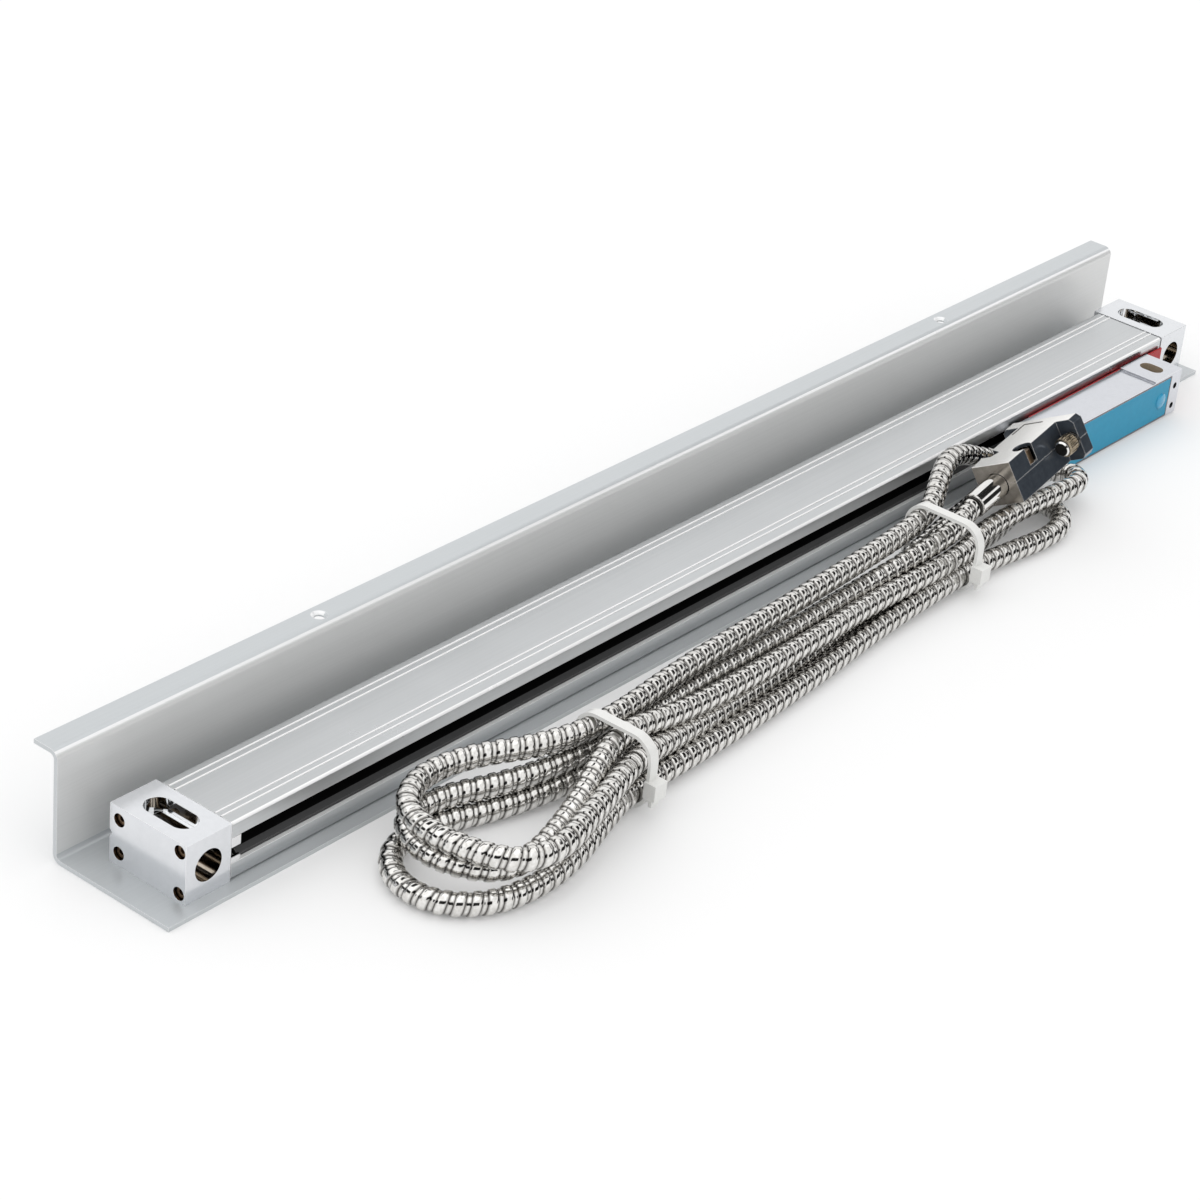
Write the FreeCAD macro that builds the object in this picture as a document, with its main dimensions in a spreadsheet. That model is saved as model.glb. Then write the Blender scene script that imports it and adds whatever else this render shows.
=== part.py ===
"""Linear glass scale: extruded scale body in a bent dust cover, reading head and armoured cable.

Every sub-part is modelled from one datum: X runs along the scale from the outer face of the left
end block, Y runs from the front face of the end blocks towards the cover's wall, and Z is up from
the surface that the cover lies on. A common placement then moves the datum so that the origin is
under the middle of the part. Millimetres.
"""
import math
import os
import re

import FreeCAD
import Part
import Sketcher

Vector = FreeCAD.Vector
Rotation = FreeCAD.Rotation
Placement = FreeCAD.Placement

SIZES = {
    # Dust cover
    "cover_overhang": 10.5,
    "cover_right_overhang": 6.5,
    "cover_sheet": 1.5,
    "cover_height": 37.5,
    "cover_gap": 10.5,
    "cover_top_width": 9.9,
    "cover_front_width": 4.5,
    "cover_bend": 1.6,
    "cover_hole_radius": 1.7,
    "cover_sink_radius": 2.7,
    "cover_hole_inset": 110.5,
    "cover_hole_margin": 4.6,
    # End blocks
    "block_length": 17.8,
    "block_width": 31.0,
    "block_height": 20.0,
    "block_slot_length": 19.0,
    "block_slot_width": 8.8,
    "block_slot_depth": 4.5,
    "block_pocket_length": 15.0,
    "block_pocket_width": 6.2,
    "block_bore_radius": 5.2,
    "block_bore_depth": 24.0,
    "block_clear_radius": 3.2,
    "block_groove_depth": 1.2,
    "block_groove_width": 2.2,
    # End screws
    "end_sink_radius": 2.15,
    "end_sink_depth": 3.0,
    "end_head_radius": 1.9,
    "end_head_height": 2.0,
    "end_shank_radius": 1.25,
    "end_screw_grip": 6.0,
    "end_back_inset": 3.9,
    "end_front_inset": 2.6,
    "end_back_spacing": 11.3,
    "end_front_spacing": 14.0,
    "end_hex_radius": 0.9,
    "end_hex_depth": 1.2,
    "screw_clearance": 0.1,
    # Housing extrusion
    "housing_length": 498.6,
    "housing_depth": 29.2,
    "housing_height": 19.4,
    "housing_inset": 0.3,
    "housing_wall": 2.0,
    "front_wall": 3.8,
    "floor_rail_height": 4.2,
    "housing_corner": 1.0,
    "slot_rise": 5.6,
    "slot_height": 8.8,
    "lip_root_width": 1.4,
    "lip_root_height": 1.0,
    "ridge_width": 0.45,
    "ridge_height": 0.25,
    "ridge_front_inner": 7.4,
    "ridge_front_outer": 5.0,
    "ridge_back_inner": 23.7,
    "ridge_back_outer": 26.3,
    "gasket_sheet": 0.4,
    "gasket_inset": 0.7,
    # Glass and its seat
    "glass_end_clearance": 0.3,
    "glass_width": 12.6,
    "glass_sheet": 2.0,
    "glass_rise": 10.2,
    "glass_bed": 0.9,
    "glass_bed_lip": 0.4,
    "glass_grip": 2.0,
    "ledge_sheet": 1.2,
    # Lips and their clips
    "lip_sheet": 0.9,
    "lip_reach": 3.4,
    "clip_length": 3.8,
    "clip_upper_height": 3.6,
    "clip_lower_height": 1.9,
    "clip_sheet": 1.2,
    # Reading head
    "head_length": 91.0,
    "head_park_gap": 12.2,
    "head_gap": 1.0,
    "head_depth": 16.0,
    "head_height": 17.3,
    "head_rise": 0.5,
    "head_step_clearance": 0.4,
    "lug_length": 18.9,
    "lug_height": 0.8,
    "lug_hole_length": 9.4,
    "lug_hole_width": 6.0,
    "lug_hole_inset": 9.2,
    "tap_radius": 1.25,
    "tap_depth": 8.0,
    "tap_inset": 3.4,
    "tap_low": 3.6,
    "tap_high": 11.9,
    "label_sheet": 0.8,
    "label_left_inset": 4.0,
    "label_right_inset": 7.4,
    "label_margin": 0.9,
    "label_bump_radius": 2.5,
    "label_bump_height": 0.35,
    "label_bump_inset": 12.6,
    "label_bump_drop": 1.0,
    "pocket_inset": 7.0,
    "pocket_length": 58.0,
    "pocket_depth": 11.0,
    "pocket_wall": 2.2,
    "board_sheet": 1.6,
    "board_margin": 2.0,
    "chip_length": 10.0,
    "chip_height": 7.0,
    "chip_rise": 2.2,
    "chip_spacing": 15.0,
    # Coupling blade and carriage
    "blade_length": 36.0,
    "blade_sheet": 0.5,
    "blade_seat": 4.0,
    "blade_clearance": 0.1,
    "blade_screw_radius": 1.0,
    "blade_screw_height": 12.0,
    "blade_screw_spacing": 24.0,
    "carriage_length": 92.0,
    "carriage_rise": 2.9,
    "carriage_front": 7.2,
    "carriage_web": 1.8,
    "carriage_depth": 16.3,
    "carriage_arm_height": 8.0,
    "carriage_upper_length": 30.0,
    "carriage_upper_depth": 14.3,
    "carriage_upper_sheet": 1.1,
    "carriage_upper_rise": 14.3,
    "roller_radius": 2.2,
    "roller_bore": 0.75,
    "roller_width": 2.0,
    "roller_contact": 0.02,
    "roller_end_inset": 10.0,
    "roller_middle": 20.0,
    "roller_pin_clearance": 0.05,
    "roller_pocket_clearance": 0.4,
    "roller_pin_grip": 0.8,
    "roller_pin_reach": 0.5,
    "roller_collar_radius": 1.3,
    "roller_collar_gap": 0.1,
    "face_roller_back": 7.2,
    "face_roller_front": 2.9,
    "optics_length": 22.0,
    "optics_depth": 7.0,
    "optics_clearance": 0.5,
    "grating_sheet": 0.6,
    "grating_gap": 0.15,
    "led_height": 1.6,
    "spring_sheet": 0.3,
    "spring_width": 10.0,
    "spring_foot": 2.0,
    # Gland and cable
    "gland_axis_depth": 7.5,
    "gland_axis_height": 12.0,
    "gland_radius": 4.9,
    "gland_length": 9.0,
    "gland_hex_length": 3.2,
    "gland_hex_radius": 5.6,
    "gland_cable_depth": 4.0,
    "gland_spigot_length": 5.0,
    "gland_wire_radius": 2.5,
    "cable_radius": 3.8,
    # Transport spacer
    "spacer_sheet": 0.8,
    "spacer_length": 92.0,
    "spacer_lead": 11.8,
    "spacer_bar_height": 2.6,
    "spacer_leg_length": 12.0,
    "spacer_top_drop": 0.2,
    # Plug
    "hood_length": 38.0,
    "hood_width": 16.5,
    "hood_thickness": 15.5,
    "hood_ear_width": 31.0,
    "hood_ear_length": 5.5,
    "hood_wall": 1.4,
    "ferrule_radius": 4.5,
    "ferrule_length": 11.0,
    "shell_width": 16.9,
    "shell_height": 8.3,
    "shell_length": 5.8,
    "shell_wall": 0.5,
    "shell_flange": 0.8,
    "pin_radius": 0.5,
    "pin_length": 4.8,
    "pin_pitch": 2.77,
    "pin_row_spacing": 2.84,
    "jack_spacing": 25.0,
    "jack_head_radius": 3.6,
    "jack_head_length": 8.0,
    "jack_shank_radius": 1.5,
    "jack_reach": 5.0,
    "jack_clearance": 0.05,
    "hood_chamfer": 1.6,
    "hood_notch_radius": 3.4,
    "hood_notch_place": 13.0,
    "hood_relief_place": 8.0,
    "hood_relief_length": 6.5,
    "hood_relief_depth": 4.9,
    "clamp_head_radius": 2.3,
    "clamp_shank_radius": 1.2,
    # Pose of the plug where it lies on the hank
    "plug_along": 364.4,
    "plug_across": -26.8,
    "plug_up": 20.8,
    "plug_yaw": 4.3,
    "plug_pitch": -7.7,
    "plug_roll": -29.5,
    # Cable ties
    "tie_width": 3.6,
    "tie_sheet": 1.2,
    "tie_clearance": 0.1,
    "tie_head": 5.6,
    "tie_head_depth": 4.5,
    "tie_head_rise": 5.0,
    "tie_tail": 3.0,
    "tie_left_place": 137.0,
    "tie_right_place": 325.0,
    "hank_corner": 6.5,
}

document = FreeCAD.newDocument("LinearGlassScale")
sheet = document.addObject("Spreadsheet::Sheet", "Sizes")
for row, (alias, size) in enumerate(SIZES.items(), start=1):
    sheet.set(f"A{row}", alias)
    sheet.set(f"B{row}", str(size))
    sheet.setAlias(f"B{row}", alias)
document.recompute()

# Places along the scale, from the datum face of the left block
HOUSING_LEFT = "(block_length + gasket_sheet)"
HOUSING_RIGHT = f"({HOUSING_LEFT} + housing_length)"
RIGHT_BLOCK = f"({HOUSING_RIGHT} + gasket_sheet)"
SCALE_RIGHT = f"({RIGHT_BLOCK} + block_length)"
COVER_RIGHT = f"({SCALE_RIGHT} + cover_right_overhang)"
COVER_LENGTH = f"({COVER_RIGHT} + cover_overhang)"
HEAD_RIGHT = f"({RIGHT_BLOCK} - head_park_gap)"
HEAD_LEFT = f"({HEAD_RIGHT} - head_length)"
HEAD_MIDDLE = f"({HEAD_RIGHT} - head_length / 2)"
# Places across the scale, from the front face of the blocks
WALL_FRONT = "(block_width + cover_gap)"
COVER_BACK = f"({WALL_FRONT} + cover_top_width)"
HOUSING_BACK = "(housing_inset + housing_depth)"
HEAD_BACK = "(0 - head_gap)"
HEAD_FRONT = "(0 - head_gap - head_depth)"
GLASS_BACK = f"({HOUSING_BACK} - housing_wall - glass_bed)"
GLASS_FRONT = f"({GLASS_BACK} - glass_width)"
# Heights
BASE = "cover_sheet"
BLOCK_MIDDLE = f"({BASE} + block_height / 2)"
HOUSING_FLOOR = f"({BASE} + housing_inset)"
HOUSING_TOP = f"({HOUSING_FLOOR} + housing_height)"
SLOT_LOW = f"({HOUSING_FLOOR} + slot_rise)"
SLOT_HIGH = f"({SLOT_LOW} + slot_height)"
SLOT_MIDDLE = f"({SLOT_LOW} + slot_height / 2)"
GLASS_LOW = f"({HOUSING_FLOOR} + housing_wall + glass_rise)"
GLASS_HIGH = f"({GLASS_LOW} + glass_sheet)"
CARRIAGE_LOW = f"({HOUSING_FLOOR} + carriage_rise)"
CARRIAGE_TOP = f"({CARRIAGE_LOW} + carriage_arm_height)"
HEAD_TOP = "(head_rise + head_height)"

ORIGIN_X = f"({COVER_LENGTH} / 2 - cover_overhang)"
ORIGIN_Y = f"(({COVER_BACK} + {HEAD_FRONT} - label_bump_height) / 2)"

AXIS_ROTATION = {
    "X": Rotation(Vector(0, 1, 0), 90),
    "Y": Rotation(Vector(1, 0, 0), -90),
    "Z": Rotation(),
}
nodes = []


def cell(expression):
    """Gives an expression with the name of the sheet before each size."""
    return re.sub(r"[a-z_]+[a-z_0-9]*", lambda found: "Sizes." + found.group(0), str(expression))


def value(expression):
    """Works out an expression of sizes as a number."""
    result = sheet.evalExpression(cell(expression))
    return float(getattr(result, "Value", result))


def bind(item, **places):
    """Ties properties of an object to sizes in the sheet."""
    for name, expression in places.items():
        item.setExpression(name.replace("__", "."), cell(expression))


def at(item, x, y, z):
    """Ties the place of an object to sizes in the sheet."""
    bind(item, Placement__Base__x=x, Placement__Base__y=y, Placement__Base__z=z)
    return item


def box(name, x, y, z, length, width, height):
    """Makes a box from its lowest corner and its three sides."""
    item = document.addObject("Part::Box", name)
    bind(item, Length=length, Width=width, Height=height)
    return at(item, x, y, z)


def rod(name, axis, x, y, z, radius, length):
    """Makes a round bar that starts at a point and runs along an axis."""
    item = document.addObject("Part::Cylinder", name)
    bind(item, Radius=radius, Height=length)
    item.Placement = Placement(Vector(), AXIS_ROTATION[axis])
    return at(item, x, y, z)


def cone(name, axis, x, y, z, start_radius, end_radius, length):
    """Makes a cone that starts at a point and runs along an axis."""
    item = document.addObject("Part::Cone", name)
    bind(item, Radius1=start_radius, Radius2=end_radius, Height=length)
    item.Placement = Placement(Vector(), AXIS_ROTATION[axis])
    return at(item, x, y, z)


def hexagon(name, axis, x, y, z, radius, length):
    """Makes a six-sided bar that starts at a point and runs along an axis."""
    item = document.addObject("Part::Prism", name)
    item.Polygon = 6
    bind(item, Circumradius=radius, Height=length)
    item.Placement = Placement(Vector(), AXIS_ROTATION[axis])
    return at(item, x, y, z)


def joined(name, parts):
    """Fuses parts that touch into one piece."""
    item = document.addObject("Part::MultiFuse", name)
    item.Shapes = parts
    item.Refine = True
    return item


def cut(name, base, tools):
    """Cuts one tool or several from a base."""
    item = document.addObject("Part::Cut", name)
    item.Base = base
    item.Tool = tools[0] if len(tools) == 1 else joined(name + "_tools", tools)
    return item


def group(name, parts):
    """Keeps separate solids in one node."""
    item = document.addObject("Part::Compound", name)
    item.Links = parts
    return item


def stadium(name, x, y, z, length, width, height):
    """Makes an upright oval bar: its middle, its length along Y, its width and its height."""
    half = f"(({length}) - ({width})) / 2"
    middle = box(name + "_middle", f"{x} - {width} / 2", f"{y} - {half}", z, width, f"{length} - {width}", height)
    near = rod(name + "_near", "Z", x, f"{y} - {half}", z, f"{width} / 2", height)
    far = rod(name + "_far", "Z", x, f"{y} + {half}", z, f"{width} / 2", height)
    return joined(name, [middle, near, far])


def profile(name, plane, corners, start, length):
    """Pads a closed outline of named corners, drawn on a base plane, along that plane's normal."""
    body = document.addObject("PartDesign::Body", name + "_body")
    sketch = body.newObject("Sketcher::SketchObject", name + "_outline")
    base = next(item for item in body.Origin.OriginFeatures if item.Role == plane)
    sketch.AttachmentSupport = [(base, "")]
    sketch.MapMode = "FlatFace"
    sketch.setExpression("AttachmentOffset.Base.z", cell(start))
    points = [Vector(value(u), value(v), 0) for u, v in corners]
    for index, point in enumerate(points):
        following = points[(index + 1) % len(points)]
        sketch.addGeometry(Part.LineSegment(point, following), False)
    for index, (u, v) in enumerate(corners):
        following = (index + 1) % len(corners)
        sketch.addConstraint(Sketcher.Constraint("Coincident", index, 2, following, 1))
        for kind, expression in (("DistanceX", u), ("DistanceY", v)):
            number = sketch.addConstraint(Sketcher.Constraint(kind, -1, 1, index, 1, value(expression)))
            sketch.setExpression(f"Constraints[{number}]", cell(expression))
    pad = body.newObject("PartDesign::Pad", name + "_pad")
    pad.Profile = sketch
    bind(pad, Length=length)
    body.Tip = pad
    return body


def rounded(body, name, places, radius):
    """Rounds the long edges of a padded profile that lie at the given places of its section."""
    document.recompute()
    pad = body.Tip
    chosen = []
    for number, edge in enumerate(pad.Shape.Edges, start=1):
        middle = edge.BoundBox.Center
        if edge.BoundBox.XLength < 1:
            continue
        for y, z in places:
            if math.hypot(middle.y - value(y), middle.z - value(z)) < 0.05:
                chosen.append(f"Edge{number}")
    fillet = body.newObject("PartDesign::Fillet", name)
    fillet.Base = (pad, chosen)
    bind(fillet, Radius=radius)
    body.Tip = fillet
    return body


def keep(item, node):
    """Makes an object a sub-part: names it and moves it from the datum to the part's origin."""
    item.Label = node
    places = {path.lstrip("."): expression for path, expression in item.ExpressionEngine}
    for path, origin in (("Placement.Base.x", ORIGIN_X), ("Placement.Base.y", ORIGIN_Y)):
        item.setExpression(path, f"{places.get(path, '0')} - {cell(origin)}")
    nodes.append(item)
    return item


def make_cover():
    """The dust cover: one bent sheet with a back flange, a wall and a flange under the scale."""
    front = "(0 - cover_front_width)"
    outline = [
        (front, "0"),
        (f"{WALL_FRONT} + cover_sheet", "0"),
        (f"{WALL_FRONT} + cover_sheet", "cover_height - cover_sheet"),
        (COVER_BACK, "cover_height - cover_sheet"),
        (COVER_BACK, "cover_height"),
        (WALL_FRONT, "cover_height"),
        (WALL_FRONT, "cover_sheet"),
        (front, "cover_sheet"),
    ]
    body = profile("cover_guard", "YZ_Plane", outline, "0 - cover_overhang", COVER_LENGTH)
    outer = [(f"{WALL_FRONT} + cover_sheet", "0"), (WALL_FRONT, "cover_height")]
    inner = [(WALL_FRONT, "cover_sheet"), (f"{WALL_FRONT} + cover_sheet", "cover_height - cover_sheet")]
    rounded(body, "cover_outer_bends", outer, "cover_bend + cover_sheet")
    rounded(body, "cover_inner_bends", inner, "cover_bend")
    tools = []
    places = ("cover_hole_inset - cover_overhang", f"{COVER_RIGHT} - cover_hole_inset")
    for side, x in zip(("left", "right"), places):
        y = f"{COVER_BACK} - cover_hole_margin"
        low = "cover_height - cover_sheet"
        tools.append(rod(f"cover_hole_{side}", "Z", x, y, f"{low} - 1", "cover_hole_radius", "cover_sheet + 2"))
        sink = "(cover_sink_radius - cover_hole_radius)"
        tools.append(cone(f"cover_sink_{side}", "Z", x, y, f"cover_height - {sink}",
                          "cover_hole_radius", "cover_sink_radius", sink))
    keep(cut("cover_guard", body, tools), "cover_guard")


def end_screw_places():
    """Gives the four screw places of an end block as pairs of Y and Z."""
    back = "(block_width - end_back_inset)"
    return [
        (back, f"({BLOCK_MIDDLE} + end_back_spacing / 2)"),
        (back, f"({BLOCK_MIDDLE} - end_back_spacing / 2)"),
        ("end_front_inset", f"({BLOCK_MIDDLE} + end_front_spacing / 2)"),
        ("end_front_inset", f"({BLOCK_MIDDLE} - end_front_spacing / 2)"),
    ]


def make_end_block(side):
    """An end block: oval slot over a narrow pocket, front bore, four screw holes and a rear groove."""
    left = side == "left"
    start = "0" if left else RIGHT_BLOCK
    outer_face = "0" if left else SCALE_RIGHT
    name = f"end_block_{side}"
    blank = box(f"{name}_blank", start, "0", BASE, "block_length", "block_width", "block_height")
    middle = f"({start} + block_length / 2)"
    across = "(block_width / 2)"
    top = f"({BASE} + block_height)"
    tools = [
        stadium(f"{name}_slot", middle, across, f"{top} - block_slot_depth", "block_slot_length",
                "block_slot_width", "block_slot_depth + 1"),
        box(f"{name}_pocket", f"{middle} - block_pocket_width / 2", f"{across} - block_pocket_length / 2",
            f"{BASE} - 1", "block_pocket_width", "block_pocket_length", "block_height"),
        rod(f"{name}_bore", "Y", middle, "0 - 1", BLOCK_MIDDLE, "block_bore_radius", "block_bore_depth + 1"),
        rod(f"{name}_clearance", "Y", middle, "block_bore_depth - 1", BLOCK_MIDDLE, "block_clear_radius",
            "block_width - block_bore_depth + 2"),
    ]
    groove = profile(f"{name}_groove", "YZ_Plane", [
        ("block_width + 1", f"{BLOCK_MIDDLE} - block_groove_width"),
        ("block_width + 1", f"{BLOCK_MIDDLE} + block_groove_width"),
        ("block_width - block_groove_depth", BLOCK_MIDDLE),
    ], f"{start} - 1", "block_length + 2")
    tools.append(groove)
    for number, (y, z) in enumerate(end_screw_places(), start=1):
        sink_start = f"{outer_face} - 1" if left else f"{outer_face} - end_sink_depth"
        tools.append(rod(f"{name}_sink_{number}", "X", sink_start, y, z, "end_sink_radius", "end_sink_depth + 1"))
        tools.append(rod(f"{name}_hole_{number}", "X", f"{start} - 1", y, z,
                         "end_shank_radius + screw_clearance", "block_length + 2"))
    keep(cut(name, blank, tools), name)
    screws = []
    for number, (y, z) in enumerate(end_screw_places(), start=1):
        tag = f"end_screw_{side}_{number}"
        shank_length = "(block_length - end_sink_depth + gasket_sheet + end_screw_grip)"
        if left:
            head_start = "(end_sink_depth - end_head_height)"
            shank_start = "end_sink_depth"
            hex_start = f"{head_start} - 1"
        else:
            head_start = f"({SCALE_RIGHT} - end_sink_depth)"
            shank_start = f"({SCALE_RIGHT} - end_sink_depth - {shank_length})"
            hex_start = f"{head_start} + end_head_height - end_hex_depth"
        shank = rod(f"{tag}_shank", "X", shank_start, y, z, "end_shank_radius", shank_length)
        head = rod(f"{tag}_head", "X", head_start, y, z, "end_head_radius", "end_head_height")
        socket = hexagon(f"{tag}_socket", "X", hex_start, y, z, "end_hex_radius", "end_hex_depth + 1")
        screws.append(cut(tag, joined(f"{tag}_solid", [shank, head]), [socket]))
    keep(group(f"end_screws_{side}", screws), f"end_screws_{side}")
    gasket_start = "block_length" if left else HOUSING_RIGHT
    gasket = box(f"end_gasket_{side}_sheet", gasket_start, "housing_inset + gasket_inset",
                 f"{HOUSING_FLOOR} + gasket_inset", "gasket_sheet", "housing_depth - 2 * gasket_inset",
                 "housing_height - 2 * gasket_inset")
    holes = [rod(f"end_gasket_{side}_hole_{number}", "X", f"{gasket_start} - 1", y, z,
                 "end_shank_radius + screw_clearance", "gasket_sheet + 2")
             for number, (y, z) in enumerate(end_screw_places(), start=1)]
    keep(cut(f"end_gasket_{side}", gasket, holes), f"end_gasket_{side}")


def make_housing():
    """The scale body: hollow extrusion, open slot in front, lip grooves, glass ledges and ridges."""
    front = "housing_inset"
    inner_front = "(housing_inset + front_wall)"
    inner_back = f"({HOUSING_BACK} - housing_wall)"
    floor = f"({HOUSING_FLOOR} + housing_wall)"
    ceiling = f"({HOUSING_TOP} - housing_wall)"
    root_front = "(housing_inset + lip_root_width)"
    root_back = "(housing_inset + 2 * lip_root_width)"
    ledge_front = f"({GLASS_BACK} - glass_grip)"
    bed_high = f"({GLASS_HIGH} + glass_bed_lip)"
    rail_top = f"({floor} + floor_rail_height)"
    outline = [
        (front, HOUSING_FLOOR), (HOUSING_BACK, HOUSING_FLOOR), (HOUSING_BACK, HOUSING_TOP)]
    for place in ("ridge_back_outer", "ridge_back_inner", "ridge_front_inner", "ridge_front_outer"):
        high = f"({HOUSING_TOP} + ridge_height)"
        outline += [(f"{place} + ridge_width / 2", HOUSING_TOP), (f"{place} + ridge_width / 2", high),
                    (f"{place} - ridge_width / 2", high), (f"{place} - ridge_width / 2", HOUSING_TOP)]
    outline += [
        (front, HOUSING_TOP), (front, SLOT_HIGH), (root_front, SLOT_HIGH),
        (root_front, f"{SLOT_HIGH} + lip_root_height"), (root_back, f"{SLOT_HIGH} + lip_root_height"),
        (root_back, SLOT_HIGH), (inner_front, SLOT_HIGH), (inner_front, ceiling), (ledge_front, ceiling),
        (ledge_front, bed_high), (inner_back, bed_high), (inner_back, GLASS_LOW), (ledge_front, GLASS_LOW),
        (ledge_front, f"{GLASS_LOW} - ledge_sheet"), (inner_back, f"{GLASS_LOW} - ledge_sheet"),
        (inner_back, rail_top), (ledge_front, rail_top), (ledge_front, floor), (inner_front, floor),
        (inner_front, SLOT_LOW), (root_back, SLOT_LOW),
        (root_back, f"{SLOT_LOW} - lip_root_height"), (root_front, f"{SLOT_LOW} - lip_root_height"),
        (root_front, SLOT_LOW), (front, SLOT_LOW),
    ]
    body = profile("housing_extrusion", "YZ_Plane", outline, HOUSING_LEFT, "housing_length")
    corners = [(front, HOUSING_FLOOR), (HOUSING_BACK, HOUSING_FLOOR), (HOUSING_BACK, HOUSING_TOP),
               (front, HOUSING_TOP)]
    rounded(body, "housing_corners", corners, "housing_corner")
    holes = []
    for number, (y, z) in enumerate(end_screw_places(), start=1):
        for side, start in (("left", f"{HOUSING_LEFT} - 1"), ("right", f"{HOUSING_RIGHT} - end_screw_grip")):
            holes.append(rod(f"housing_screw_{side}_{number}", "X", start, y, z, "end_shank_radius",
                             "end_screw_grip + 1"))
    keep(cut("housing_extrusion", body, holes), "housing_extrusion")


def make_lips():
    """The two rubber lips, rooted in the housing's grooves, with clips at their ends."""
    root_front = "(housing_inset + lip_root_width)"
    root_back = "(housing_inset + 2 * lip_root_width)"
    tip = f"({root_back} + lip_reach)"
    gap = "(blade_sheet / 2 + blade_clearance)"
    for name, edge, sign in (("upper", SLOT_HIGH, 1), ("lower", SLOT_LOW, -1)):
        near = f"({edge} + {sign} * lip_root_height)"
        inner = f"({edge} - {sign} * lip_sheet)"
        tip_edge = f"({SLOT_MIDDLE} + {sign} * {gap})"
        outline = [(root_front, near), (root_front, inner), (f"{tip} - lip_sheet", tip_edge), (tip, tip_edge),
                   (root_back, f"{edge} - {sign} * lip_sheet / 2"), (root_back, near)]
        if sign < 0:
            outline.reverse()
        lip = profile(f"lip_seal_{name}", "YZ_Plane", outline, f"{HOUSING_LEFT} + clip_length",
                      "housing_length - 2 * clip_length")
        keep(lip, f"lip_seal_{name}")
    for side, start in (("left", HOUSING_LEFT), ("right", f"({HOUSING_RIGHT} - clip_length)")):
        clips = [
            box(f"lip_clip_{side}_upper", start, "housing_inset", f"{SLOT_HIGH} - clip_upper_height",
                "clip_length", "clip_sheet", "clip_upper_height"),
            box(f"lip_clip_{side}_lower", start, "housing_inset", SLOT_LOW, "clip_length", "clip_sheet",
                "clip_lower_height"),
        ]
        keep(group(f"lip_clips_{side}", clips), f"lip_clips_{side}")


def make_glass():
    """The graduated glass strip and the resilient bed that holds its back edge."""
    end = "(end_screw_grip + glass_end_clearance)"
    start = f"({HOUSING_LEFT} + {end})"
    length = f"(housing_length - 2 * {end})"
    glass = box("glass_scale", start, GLASS_FRONT, GLASS_LOW, length, "glass_width", "glass_sheet")
    keep(glass, "glass_scale")
    back = box("glass_bed_back", start, GLASS_BACK, GLASS_LOW, length, "glass_bed",
               "glass_sheet + glass_bed_lip")
    lip = box("glass_bed_top", start, f"{GLASS_BACK} - glass_grip", GLASS_HIGH, length,
              "glass_grip + glass_bed", "glass_bed_lip")
    keep(joined("glass_bedding", [back, lip]), "glass_bedding")


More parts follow.
